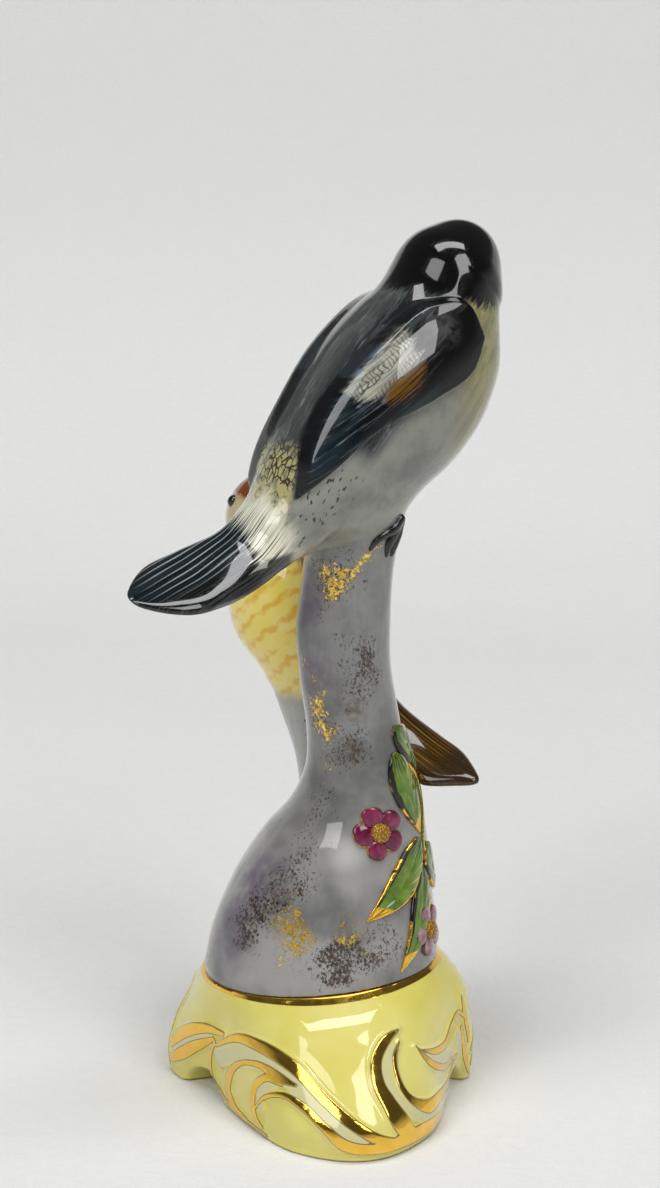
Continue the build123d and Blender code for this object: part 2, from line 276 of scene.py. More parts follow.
# The raised scrolls on the front half, which the back half repeats half a turn round. Each
# stroke of gold is a run of bearing (degrees), height and half width (mm).
gold_strokes = [
    [(-147, 11, 0.2), (-128, 15, 0.75), (-112, 15.5, 1), (-98, 14, 1), (-88, 10, 0.9), (-80, 6.5, 0.9),
     (-75, 4.5, 0.8), (-69, 3, 0.5)],
    [(-97, 11.5, 0.2), (-104, 12, 0.8), (-112, 12.5, 0.55), (-122, 11.5, 0.4), (-133, 7.5, 0.9),
     (-136, 4, 1.3), (-130, 1.8, 1), (-119, 1, 0.5)],
    [(-102, 11, 0.25), (-109, 11, 0.65), (-114, 8.5, 0.8), (-115, 5.5, 0.8), (-113, 3, 0.65),
     (-109, 2, 0.2)],
    [(-114, 4.5, 0.2), (-108, 8, 0.35), (-101, 9.5, 0.45), (-94, 8.5, 0.6), (-88, 6, 0.7), (-83, 3.5, 1.05),
     (-75, 2.6, 1), (-67, 2.8, 1.4), (-55, 2.4, 1.45), (-42, 2, 0.9), (-32, 3, 0.4)],
    [(-58, 18.5, 0.25), (-65, 17.5, 0.8), (-71, 15, 0.9), (-72, 12, 1.05), (-70, 9, 1.4), (-67, 5.5, 1.8),
     (-64, 3.5, 0.9)],
    [(-60, 17, 0.25), (-64, 15, 0.45), (-65, 12.5, 0.45), (-63, 9, 0.7), (-57, 6.5, 1.1), (-48, 6, 0.9),
     (-27, 5, 0.55), (-16, 7, 0.4)],
    [(-54, 15.5, 0.2), (-50, 12.5, 0.55), (-38, 9, 0.55), (-16, 7, 0.3)],
    [(-52, 14.5, 0.2), (-44, 13, 0.55), (-32, 12.5, 0.65), (-24, 14.5, 0.55), (-16, 15.5, 0.4),
     (-11, 14, 0.3)],
    [(-10, 19, 0.2), (-11, 16.5, 0.4), (-9, 12.5, 0.5), (-6, 8, 0.4)],
    [(-13, 12, 0.4), (-10, 8, 0.5), (-7, 4, 0.5), (-4, 1.5, 0.3)],
    [(-141, 14, 0.4), (-157, 13, 0.85), (-174, 9.5, 1.15), (-182, 6, 0.8)],
    [(-149, 12, 0.3), (-162, 9, 0.95), (-172, 6, 1.15), (-182, 3, 0.7)],
    [(-148, 11.5, 0.35), (-153, 7.5, 0.35), (-153, 4.5, 0.3), (-142, 2, 0.3), (-119, 1, 0.35),
     (-107, 1, 0.2)],
]
# Inside the scrolls the raised clay is left pale: the same kind of strokes.
pale_strokes = [
    [(-144, 9, 1.6), (-126, 12.5, 1.6), (-112, 14, 1.4), (-99, 12.5, 2), (-90, 9, 2.4), (-82, 5.5, 2),
     (-74, 3.5, 0.8)],
    [(-105, 10.5, 0.7), (-111, 8, 1.1), (-110, 5.5, 0.9)],
    [(-64, 16.5, 0.7), (-68, 14, 1.2), (-69, 11.5, 1.3), (-66, 8.5, 1.3), (-59, 5.5, 1.2), (-46, 4, 1.2),
     (-28, 3, 1), (-15, 5.5, 1), (-14, 10.5, 1)],
    [(-151, 12, 0.6), (-164, 9.5, 1), (-178, 5.5, 1)],
    [(-51, 13.5, 0.5), (-39, 10.5, 1.1), (-25, 10, 1), (-17, 12, 0.8)],
]


def stroke_beads(strokes, place, spacing=0.3):
    """Each stroke as a close string of beads: their places and radii."""
    places, radii = [], []
    for stroke in strokes:
        stroke = np.array(stroke, float)
        knots = place(stroke[:, :-1])
        along = np.concatenate([[0], np.cumsum(np.linalg.norm(np.diff(knots, axis=0), axis=1))])
        at = np.arange(0, along[-1], spacing)
        bead = eased(along, stroke, at)
        places.append(place(bead[:, :-1]))
        radii.append(bead[:, -1])
    return np.concatenate(places), np.concatenate(radii)


def stroke_depth(points, beads):
    """How deep each point lies inside the strokes, in mm; less than zero outside them."""
    places, radii = beads
    depth = np.empty(len(points))
    batches = max(1, len(points) * len(radii) // (AT_ONCE * 10))
    for some in np.array_split(np.arange(len(points)), batches):
        gap = np.linalg.norm(points[some][:, None] - places[None], axis=2)
        depth[some] = (radii - gap).max(axis=1)
    return depth


def on_plinth(spots):
    """Where bearings and heights are on the plinth's surface."""
    bearing, height = spots.T
    radius = plinth_radius(bearing, height)
    turn = np.radians(bearing)
    return np.stack([radius * np.cos(turn), radius * np.sin(turn), height], axis=1)


def both_halves(strokes):
    """The strokes as beads on the front half and again, half a turn round, on the back half."""
    halves = [
        stroke_beads(strokes, lambda spots, turn=turn: on_plinth(spots + (turn, 0)))
        for turn in (0, 180)
    ]
    return [np.concatenate(beads) for beads in zip(*halves)]


plinth = cast("plinth", plinth_clay, (-31, -42, -1), (31, 42, 27))
spots = surface(plinth)
gold_depth = stroke_depth(spots, both_halves(gold_strokes))
pale_depth = stroke_depth(spots, both_halves(pale_strokes))
on_side = ramp(spots[:, 2], 0.3, 1.2)
relief = relief_height * ramp(np.maximum(pale_depth, gold_depth), -0.8, 0.1)
_, outward = steepest(plinth_clay, spots)
outward /= np.linalg.norm(outward, axis=1)[:, None]
spots = spots + outward * ((relief - relief_height / 2) * on_side)[:, None]
spots[:, 2] = np.maximum(spots[:, 2], 0)
plinth.data.vertices.foreach_set("co", (spots * MM).ravel())
note(plinth, "gold", gold_depth)
note(plinth, "pale", pale_depth)
note(plinth, "level", plinth_level(spots[:, 0], spots[:, 2]))
plinth.data.update()
facing = np.empty(len(spots) * 3)
plinth.data.vertices.foreach_get("normal", facing)
plinth.data.normals_split_custom_set_from_vertices(facing.reshape(-1, 3).tolist())


class Tint:
    """One socket of a material's nodes; sums on it add Math nodes."""

    def __init__(self, socket):
        self.socket = socket

    def maths(self, operation, *others):
        tree = self.socket.id_data
        made = tree.nodes.new("ShaderNodeMath")
        made.operation = operation
        for entry, term in zip(made.inputs, (self, *others)):
            if isinstance(term, Tint):
                tree.links.new(term.socket, entry)
            else:
                entry.default_value = term
        return Tint(made.outputs[0])

    def __add__(self, other):
        return self.maths("ADD", other)

    def __sub__(self, other):
        return self.maths("SUBTRACT", other)

    def __rsub__(self, other):
        return -self + other

    def __mul__(self, other):
        return self.maths("MULTIPLY", other)

    def __pow__(self, other):
        return self.maths("POWER", other)

    def __neg__(self):
        return self * -1

    __radd__ = __add__
    __rmul__ = __mul__

    def step(self, start, end):
        """0 below start, 1 above end and smooth between; start may be the higher one."""
        tree = self.socket.id_data
        made = tree.nodes.new("ShaderNodeMapRange")
        made.interpolation_type = "SMOOTHSTEP"
        low, high = min(start, end), max(start, end)
        made.inputs["From Min"].default_value = low
        made.inputs["From Max"].default_value = high
        made.inputs["To Min"].default_value = float(start > end)
        made.inputs["To Max"].default_value = float(start < end)
        tree.links.new(self.socket, made.inputs["Value"])
        return Tint(made.outputs["Result"])


class Finish:
    """A fired finish: a material whose colour, gloss and relief are built up from nodes."""

    def __init__(self, name):
        self.material = bpy.data.materials.new(name)
        self.material.use_nodes = True
        self.tree = self.material.node_tree
        self.shader = self.tree.nodes["Principled BSDF"]

    def node(self, kind, settings=None, inputs=None, output=0):
        made = self.tree.nodes.new(kind)
        for key, value in (settings or {}).items():
            setattr(made, key, value)
        for key, value in (inputs or {}).items():
            self.feed(made.inputs[key], value)
        return Tint(made.outputs[output])

    def feed(self, socket, value):
        if isinstance(value, Tint):
            self.tree.links.new(value.socket, socket)
        elif socket.type == "RGBA" and len(value) == 3:
            socket.default_value = (*value, 1)
        else:
            socket.default_value = value

    def noted(self, name, part="Fac"):
        """A value kept on the piece's points."""
        return self.node("ShaderNodeAttribute", {"attribute_name": name}, output=part)

    def parts(self, vector):
        """The three numbers of a vector."""
        split = self.node("ShaderNodeSeparateXYZ", inputs={0: vector}).socket.node
        return [Tint(output) for output in split.outputs]

    def place(self):
        """The point's place in mm."""
        spot = self.node("ShaderNodeTexCoord", output="Object")
        return self.node("ShaderNodeVectorMath", {"operation": "SCALE"}, {0: spot, "Scale": 1 / MM})

    def stretched(self, vector, along):
        settings = {"vector_type": "POINT"}
        return self.node("ShaderNodeMapping", settings, {"Vector": vector, "Scale": along})

    def noise(self, vector, scale, detail=2.0, rough=0.5, warp=0.0):
        inputs = {"Vector": vector, "Scale": scale, "Detail": detail}
        inputs.update({"Roughness": rough, "Distortion": warp})
        return self.node("ShaderNodeTexNoise", {}, inputs)

    def vector(self, x, y, z):
        return self.node("ShaderNodeCombineXYZ", {}, {0: x, 1: y, 2: z})

    def grain(self, x, y, z, detail, rough=0.5, warp=0.0):
        """Noise with its own fineness along each of three directions."""
        return self.noise(self.vector(x, y, z), 1.0, detail, rough, warp)

    def near(self, spot, centre, reach):
        """1 at a place, falling softly to 0 at its reach."""
        distance = {"operation": "DISTANCE"}
        return self.node("ShaderNodeVectorMath", distance, {0: spot, 1: centre}, output=1).step(reach, 0)

    def near_any(self, spot, places, wider=1.0):
        """The sum of nearness to each place, which is a centre and a reach."""
        total = 0.0
        for centre, reach in places:
            total = self.near(spot, centre, reach * wider) + total
        return total

    def blend(self, share, under, over):
        """Colour: over laid on under by a share from 0 to 1."""
        settings = {"data_type": "RGBA"}
        return self.node("ShaderNodeMix", settings, {"Factor": share, 6: under, 7: over}, output=2)

    def fire(self, colour, roughness=0.1, metal=0.0, relief=None, height=0.1, coat=1.0):
        """Close the finish with its colour, gloss and relief, and a clear glaze over it."""
        self.feed(self.shader.inputs["Base Color"], colour)
        self.feed(self.shader.inputs["Roughness"], roughness)
        self.feed(self.shader.inputs["Metallic"], metal)
        self.feed(self.shader.inputs["Coat Weight"], coat)
        self.shader.inputs["Coat Roughness"].default_value = GLAZE_ROUGHNESS
        self.shader.inputs["Specular IOR Level"].default_value = CLAY_SHINE
        if relief is not None:
            inputs = {"Strength": 1.0, "Distance": height * MM, "Height": relief}
            self.feed(self.shader.inputs["Normal"], self.node("ShaderNodeBump", {}, inputs))
        return self.material


GLAZE_ROUGHNESS = 0.03
CLAY_SHINE = 0.1                 # the painted clay under the glaze hardly shines by itself
BRIGHT_GOLD = (0.87, 0.51, 0.055)
DARK_GOLD = (0.42, 0.21, 0.03)


def plinth_finish():
    made = Finish("plinth_glaze")
    spot = made.place()
    clouds = made.noise(spot, 0.06, 3)
    ground = made.blend(clouds.step(0.35, 0.65), (0.71, 0.635, 0.14), (0.79, 0.71, 0.225))
    ground = made.blend(made.noise(spot, 0.9, 3).step(0.62, 0.8) * 0.25, ground, (0.66, 0.58, 0.18))
    pale = made.noted("pale") + made.noise(spot, 0.5, 2) * 0.3 - 0.15
    colour = made.blend(pale.step(-0.1, 0.35) * 0.9, ground, (0.62, 0.585, 0.32))
    gold = made.noted("gold") + (made.noise(spot, 0.6, 2) - 0.5) * 0.08
    level = made.noted("level")
    line = (level - ring_level).step(-0.06, 0.06) * (level - plinth_height - 0.1).step(0.1, -0.1)
    gilded = gold.step(-0.03, 0.05).maths("MAXIMUM", line)
    rim = gold.step(-0.20, -0.12) * gold.step(0.04, -0.02) * 0.75
    colour = made.blend(rim, colour, (0.035, 0.02, 0.008))
    wear = made.noise(spot, 0.35, 4).step(0.3, 0.7)
    gilding = made.blend(wear, BRIGHT_GOLD, (0.92, 0.58, 0.08))
    colour = made.blend(gilded, colour, gilding)
    # painted shade: the lowest half millimetre of the plinth is darkened where it meets the table
    foot = level.step(0.5, 0.15) * 0.6
    colour = made.blend(foot, colour, (0.10, 0.08, 0.04))
    rough = 0.1 + gilded * (wear * 0.06 - 0.02)
    burnish = made.noise(spot, 1.2, 3) * gilded * 0.12
    relief = made.noise(spot, 0.16, 2) * 2.0 + gold.step(-0.1, 0.1) * 0.3 + burnish
    return made.fire(colour, rough, gilded, relief, 0.12, 1.0 - gilded * 0.6)


plinth.data.materials.append(plinth_finish())
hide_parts("plinth")


# ==== branch ===================================================================================
# The trunk with its short side branch, one hollow porcelain limb that stands in the plinth's
# joint. Lilac-grey glaze with soft purple stains, and gold and brown specks dusted on.
def egg(x, y, half_x, half_y):
    """Distance from an ellipse, less than zero inside."""
    reach = np.hypot(x / half_x, y / half_y)
    return reach * (reach - 1) / np.maximum(np.hypot(x / half_x**2, y / half_y**2), 1e-4)


# Up each limb: height, middle x and y, half width and half depth.
trunk_rise = np.array([
    (23.5, 0.4, 0, 21.7, 19.5), (31, 1.0, 0.3, 20.5, 18.5), (40, 2.6, 1.5, 18.0, 16.8),
    (48, 4.8, 2.0, 15.0, 14.8), (54, 6.8, 1.5, 12.1, 12.5), (61, 7.2, 0.5, 9.7, 10.0),
    (68, 6.4, 0, 8.7, 9.0), (78, 5.0, 0, 8.6, 8.6),
    (88, 4.5, 0, 8.5, 8.3), (97, 5.2, 0, 8.2, 8.0), (104.5, 6.4, 0.3, 8.2, 7.8),
])
side_rise = np.array([
    (40, 4.0, 9.0, 8.0, 8.0), (50, 3.8, 14.5, 7.4, 7.4), (58, 2.2, 19.0, 7.0, 7.0),
    (65, -0.6, 22.0, 6.8, 6.8), (71.5, -2.6, 23.4, 7.2, 7.2),
])
# Knots and hollows: place, how far round it they reach, and how high they stand.
knots = [
    ((2, -10, 67), 3.0, 0.7), ((9, -10, 69), 3.0, 0.6), ((-8, -16, 46), 6.0, 0.8), ((-2, -10, 58), 4.0, 0.6),
    ((5, -12, 47), 5.5, 1.1), ((13, -8, 58), 4.0, 0.5), ((0, -8, 71), 5.0, 0.6), ((-4, -5, 86), 5.0, 0.5),
    ((14, 2, 80), 6.0, -0.4), ((-14, -8, 36), 7.0, 0.8), ((18, -10, 34), 7.0, 0.6), ((2, -18, 29), 7.0, -0.5),
    ((-10, 12, 40), 7.0, 0.9), ((12, 12, 44), 6.0, 0.8), ((5, 9, 92), 5.0, 0.5),
]


def upright_limb(points, rise, low, high):
    x, y, z = points.T
    middle_x, middle_y, half_x, half_y = eased(rise[:, 0], rise[:, 1:], z).T
    return trimmed(egg(x - middle_x, y - middle_y, half_x, half_y), np.maximum(low - z, z - high), 1.0)


def trunk_clay(points, low=-9.0, high=107.0):
    body = upright_limb(points, trunk_rise, low, high)
    for place, reach, rise in knots:
        body = body - rise * np.exp(-(((points - place) / reach) ** 2).sum(axis=1))
    return body


def side_clay(points, low=36.0, high=74.0):
    return upright_limb(points, side_rise, low, high)


def branch_clay(points):
    x, _, z = points.T
    body = merged(trunk_clay(points), side_clay(points), 6.0)
    return trimmed(body, plinth_height - 0.2 + x * tan(radians(joint_tilt)) - z, 0.2)


# The birds are fused onto the branch; the moulds part a little below each of them.
dark_parting = ((5.5, 0, 97.5), (-0.30, 0, 0.95), (6, 0), 13.0)
yellow_parting = ((-3, 23, 63.2), (0.25, -0.176, 0.952), (-1, 22), 11.5)


def turned_over(parting):
    point, normal, axis, radius = parting
    return point, tuple(-n for n in normal), axis, radius


partings = [turned_over(dark_parting), turned_over(yellow_parting)]
branch = cast("branch", branch_clay, (-24, -22, 20), (25, 33, 110), partings)

# Where the branch is stained and dusted, and where highlights are painted on two knots: the middle of each
# soft patch and its reach, in mm.
purple_stains = [
    ((-3, -5, 93), 9), ((-3, -7, 80), 9), ((-14, -10, 42), 13), ((-16, -9, 31), 9), ((9, -9, 30), 9),
    ((8, 12, 60), 12), ((6, 9, 90), 10),
]
painted_knot_highlights = [((5, -13, 48), 4.5), ((-1, -9, 71), 3.5)]
brown_stains = [((6, -9, 74), 4), ((6, -9, 66.5), 4), ((5, -18, 32), 5), ((-9, -15, 40), 8)]
gold_dust = [
    ((3, -8, 97.5), 6.5), ((8, -8, 101), 5.5), ((-5, -17, 34.5), 9.5), ((6, -18, 34), 5.0),
    ((-3, -6, 81), 4.5), ((-1.5, -7, 74.5), 4.5), ((0, -8, 69), 4.5), ((0.5, -9, 63), 4.5),
    ((-2, 26, 60), 9.0), ((3, 9, 98), 9.0), ((-6, 17, 36), 11.0), ((12, 12, 42), 8.0),
]
soot_dust = [
    ((7.3, -8, 79.5), 7), ((7.5, -8, 84), 5), ((6, -8.5, 66.5), 6), ((-1, -8, 71), 6), ((-1.5, -10, 57.5), 6),
    ((-4, -13, 52), 7), ((-6, -15, 45), 8), ((-11, -15, 39), 9), ((-14, -13, 34), 7), ((6, -18, 31), 6.5),
    ((2, -18, 28), 5.5), ((11, -15, 31), 6), ((0, 9, 70), 12), ((13, 9, 50), 12), ((-8, 14, 48), 10),
    ((3, -8, 98), 8), ((-1, 25, 58), 9),
]


def branch_paint(made, spot):
    """The branch's colour, how far it is gilded, and its relief."""
    x, y, z = made.parts(spot)
    cloud = made.noise(spot, 0.09, 4, 0.55)
    colour = made.blend(cloud.step(0.35, 0.68), (0.25, 0.25, 0.245), (0.125, 0.125, 0.125))
    streak = made.noise(made.stretched(spot, (1.2, 1.2, 0.16)), 1.0, 3)
    colour = made.blend(streak.step(0.5, 0.75) * 0.25, colour, (0.11, 0.108, 0.112))
    colour = made.blend(y.step(11, 15) * z.step(48, 54) * 0.8, colour, (0.50, 0.51, 0.47))
    # paler mottling low on the trunk: partly a paler glaze, partly painted reflection of the windows
    low = z.step(64, 46) * made.noise(spot, 0.07, 2).step(0.38, 0.62)
    colour = made.blend(low * 0.55, colour, (0.43, 0.42, 0.41))
    soft, broken = made.noise(spot, 0.3, 3).step(0.3, 0.65), made.noise(spot, 0.7, 3).step(0.4, 0.6)
    # purple and brown stains, and painted highlights on the two knots that stand out most
    for places, strength, ink in (
        (purple_stains, soft * 0.85, (0.125, 0.085, 0.145)), (painted_knot_highlights, 0.55, (0.70, 0.69, 0.66)),
        (brown_stains, broken * 0.7, (0.085, 0.048, 0.022)),
    ):
        for centre, reach in places:
            colour = made.blend(made.near(spot, centre, reach) * strength, colour, ink)
    # dust blown on through the air, so the edges of its patches wander
    drift, shift = made.noise(spot, 0.22, 3), made.noise(made.stretched(spot, (-1, 1, 1.1)), 0.22, 3)
    blown = made.vector(x + (drift - 0.5) * 13, y, z + (shift - 0.5) * 16)
    dust = made.noise(spot, 1.55, 4, 0.8, 0.5)
    flecks = made.noise(spot, 1.8, 3, 0.7)
    dusted = made.near_any(blown, gold_dust)
    gold = (dust + dusted * 0.24).step(0.69, 0.71) * dusted.step(0.02, 0.2)
    soot = made.noise(made.stretched(spot, (1, 1, 0.75)), 2.1, 4, 0.8, 0.3)
    sooted = made.near_any(blown, soot_dust, 1.08)
    speck = (soot + sooted * 0.15).step(0.63, 0.66) * sooted.step(0.02, 0.3)
    pepper = made.blend(flecks.step(0.45, 0.55), (0.014, 0.010, 0.008), (0.065, 0.034, 0.013))
    glitter = made.blend(flecks.step(0.4, 0.6), (0.80, 0.43, 0.035), (1.0, 0.74, 0.15))
    colour = made.blend(speck * 0.95, colour, pepper)
    colour = made.blend(gold, colour, glitter)
    relief = made.noise(spot, 0.18, 3) + streak * 0.3 + gold * 0.35
    return colour, gold, relief


def branch_finish():
    made = Finish("branch_glaze")
    colour, gilded, relief = branch_paint(made, made.place())
    return made.fire(colour, 0.14 + gilded * 0.1, gilded, relief, 0.25, 1.0 - gilded * 0.6)


branch.data.materials.append(branch_finish())
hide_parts("trunk", "short_branch")

# ==== dark bird ================================================================================
# Body, head, tail and folded wings cast as one and fused to the top of the trunk. Black head,
# streaked grey back, hatched wings, cream breast, scaled rump and a black fanned tail.
DARK_STAND, DARK_YAW = (8, 0), 37.0
dark_body = [
    (-22.5, 105.6, 4.0, 5.6), (-17.5, 108.8, 6.8, 8.2), (-11.5, 113.2, 10.8, 11.2), (-3, 119.9, 14.3, 13.6),
    (5.7, 127.6, 16.2, 15.0), (13, 134.9, 15.2, 14.3), (18.3, 141.6, 12.3, 11.8), (20, 148, 9.0, 9.0),
]
dark_tail = [
    (-16.5, 107.6, 4.2, 6.0), (-18.5, 107, 4.0, 6.2), (-27, 103, 3.0, 7.2), (-35.5, 100.5, 2.5, 7.8),
    (-43, 99.2, 2.0, 6.6), (-47, 98.8, 1.4, 4.0), (-50, 98.7, 0.7, 1.2),
]
dark_head = (20, 149.6)
head_radius = 9.1
tail_roll = 26.0
wing_back_edge = [(1, 0), (0.85, 0.12), (0.64, 0.21), (0.33, 0.26), (0.08, 0.235), (-0.03, 0.155), (0, 0)]
wing_front_edge = [(0, 0), (0.15, -0.05), (0.35, -0.015), (0.6, 0.035), (0.83, 0.02), (1, 0)]
dark_wing = ((16.6, 139.5), (-20.4, 113.0))
wing_thickness = 1.5


def in_bird_frame(points, stand, yaw):
    """Forward, left and up from where a bird stands."""
    x, y, z = points[:, 0] - stand[0], points[:, 1] - stand[1], points[:, 2]
    turn = radians(yaw)
    return x * cos(turn) + y * sin(turn), y * cos(turn) - x * sin(turn), z


def along_limb(forward, up, start, lean):
    """Along and above a line that leaves start at the given lean."""
    tilt = radians(lean)
    ahead, over = forward - start[0], up - start[1]
    return ahead * cos(tilt) + over * sin(tilt), over * cos(tilt) - ahead * sin(tilt)


def leaning_limb(forward, left, up, rows, line, roll, rounding):
    """A body or tail along its line. Rows: forward, up, half thickness and half width."""
    rows = np.array(rows)
    at, rise = along_limb(rows[:, 0], rows[:, 1], *line)
    order = np.argsort(at)
    along, above = along_limb(forward, up, *line)
    middle, thick, wide = eased(at[order], np.column_stack([rise, rows[:, 2:]])[order], along).T
    tilt = radians(roll)
    over = above - middle
    side, face = left * cos(tilt) + over * sin(tilt), over * cos(tilt) - left * sin(tilt)
    length = np.abs(along - (at.min() + at.max()) / 2) - np.ptp(at) / 2
    return trimmed(egg(side, face, wide, thick), length, rounding), side, face


def wing_place(forward, up, wing):
    """Along a wing from its shoulder and across it towards the back, in mm."""
    run = np.subtract(wing[1], wing[0])
    length = np.hypot(*run)
    ahead, over = forward - wing[0][0], up - wing[0][1]
    return (ahead * run[0] + over * run[1]) / length, (ahead * run[1] - over * run[0]) / length


def smooth_run(knots, close=0.5):
    """A smooth curve through a run of places."""
    knots = np.array(knots, float)
    along = np.concatenate([[0], np.cumsum(np.linalg.norm(np.diff(knots, axis=0), axis=1))])
    return eased(along, knots, np.arange(0, along[-1], close))


def outline_depth(outline, spots):
    """How deep places lie inside a closed outline, less than zero outside."""
    edge = np.roll(outline, -1, axis=0) - outline
    gap = spots[:, None] - outline
    t = np.clip((gap * edge).sum(axis=2) / np.maximum((edge * edge).sum(axis=1), 1e-9), 0, 1)
    near = np.linalg.norm(gap - t[..., None] * edge, axis=2).min(axis=1)
    before = outline[:, 1] > spots[:, 1:]
    meets = gap[..., 0] * edge[:, 1] < gap[..., 1] * edge[:, 0]
    crossed = (before != np.roll(before, -1, axis=1)) & (meets == (edge[:, 1] > 0))
    return np.where(crossed.sum(axis=1) % 2 == 1, near, -near)


class Stencil:
    """A closed outline kept as a look-up of depth, quick to read at many places."""

    def __init__(self, outline, cell=0.4):
        self.low, self.cell = outline.min(axis=0) - 4, cell
        self.count = np.ceil((outline.max(axis=0) + 4 - self.low) / cell).astype(int)
        places = (self.low + grid_of(self.count) * cell).reshape(-1, 2)
        self.depth = outline_depth(outline, places).reshape(self.count)

    def at(self, x, y):
        spot = (np.column_stack([x, y]) - self.low) / self.cell
        spot = np.clip(spot, 0, self.count - 1.001)
        i, j = spot.astype(int).T
        s, t = (spot - spot.astype(int)).T
        d = self.depth
        near_row = d[i, j] * (1 - s) + d[i + 1, j] * s
        far_row = d[i, j + 1] * (1 - s) + d[i + 1, j + 1] * s
        return near_row * (1 - t) + far_row * t


def wing_stencil(wing):
    length = np.hypot(*np.subtract(wing[1], wing[0]))
    edges = [smooth_run(np.array(edge) * length) for edge in (wing_back_edge, wing_front_edge)]
    return Stencil(np.concatenate(edges))


dark_wing_shape = wing_stencil(dark_wing)
# Where each limb's own line starts, and how many degrees it leans.
DARK_BODY_LINE = (0, 122), 46.0
DARK_TAIL_LINE = (-18.5, 107), 15.0


def turned_on_axis(forward, left, up, line, roll):
    """The same place as seen on a body that is rolled about its own axis."""
    start, lean = line
    along, above = along_limb(forward, up, start, lean)
    tilt, lift = radians(roll), radians(lean)
    above, left = above * cos(tilt) - left * sin(tilt), left * cos(tilt) + above * sin(tilt)
    ahead, over = along * cos(lift) - above * sin(lift), along * sin(lift) + above * cos(lift)
    return start[0] + ahead, left, start[1] + over


def folded_wings(body, forward, left, up, wing, shape):
    """Raise both wings off a body."""
    depth = shape.at(*wing_place(forward, up, wing))
    return body - wing_thickness * ramp(depth, -0.25, 0.75) * ramp(np.abs(left), 1.0, 2.5)


def dark_bird_clay(points):
    forward, left, up = in_bird_frame(points, DARK_STAND, DARK_YAW)
    body, _, _ = leaning_limb(forward, left, up, dark_body, DARK_BODY_LINE, 0, 4.0)
    along, above = along_limb(forward, up, dark_head, 62.0)
    head = (np.sqrt((along / 9.7) ** 2 + (above / 8.3) ** 2 + (left / 8.9) ** 2) - 1) * 8.8
    body = merged(body, head, 8.0)
    tail, side, face = leaning_limb(forward, left, up, dark_tail, DARK_TAIL_LINE, tail_roll, 1.5)
    dish = 0.9 * np.exp(-((side / 4.5) ** 2)) * ramp(-forward, 28, 38) * ramp(face, -0.5, 1.0)
    body = merged(body, tail + dish, 5.0)
    body = folded_wings(body, forward, left, up, dark_wing, dark_wing_shape)
    return merged(body, trunk_clay(points, 90.0, 112.0), 6.0)


dark_bird = cast("dark_bird", dark_bird_clay, (-38, -40, 88), (38, 30, 162), [dark_parting], FINE_GRAIN)

# Painted patches on each wing, in shares of its length.
hatched_patch = [
    (0.26, 0.235), (0.40, 0.245), (0.52, 0.225), (0.58, 0.185), (0.515, 0.135), (0.41, 0.127), (0.32, 0.132),
    (0.275, 0.19),
]
brown_patch = [(0.27, 0.135), (0.38, 0.150), (0.50, 0.135), (0.52, 0.105), (0.44, 0.075), (0.35, 0.080)]
blue_patch = [(0.35, 0.252), (0.45, 0.258), (0.545, 0.24), (0.53, 0.225), (0.45, 0.236), (0.38, 0.236)]


def patch_depth(patch, along, across, length):
    patch = np.array(patch + patch[:1]) * length
    return outline_depth(smooth_run(patch, 0.8), np.column_stack([along, across]))


def note_bird(piece, stand, yaw, body_line, body_roll, tail_line, tail_turn, wing, shape):
    """Keep each point's place on the body, the tail and the wing."""
    forward, left, up = in_bird_frame(surface(piece), stand, yaw)
    back, over = along_limb(forward, up, *tail_line)
    tilt = radians(tail_turn)
    side, face = left * cos(tilt) + over * sin(tilt), over * cos(tilt) - left * sin(tilt)
    note(piece, "tail", np.column_stack([-back, side, face]))
    forward, left, up = turned_on_axis(forward, left, up, body_line, body_roll)
    note(piece, "body", np.column_stack([*along_limb(forward, up, *body_line), left]))
    along, across = wing_place(forward, up, wing)
    depth = np.where(np.abs(left) > 1.5, shape.at(along, across), -4)
    note(piece, "wing", np.column_stack([along, across, depth]))
    return along, across


along, across = note_bird(
    dark_bird, DARK_STAND, DARK_YAW, DARK_BODY_LINE, 0, DARK_TAIL_LINE, tail_roll, dark_wing, dark_wing_shape,
)
wing_length = np.hypot(*np.subtract(dark_wing[1], dark_wing[0]))
patches = [
    patch_depth(patch, along, across, wing_length) for patch in (hatched_patch, brown_patch, blue_patch)
]
note(dark_bird, "patch", np.column_stack(patches))


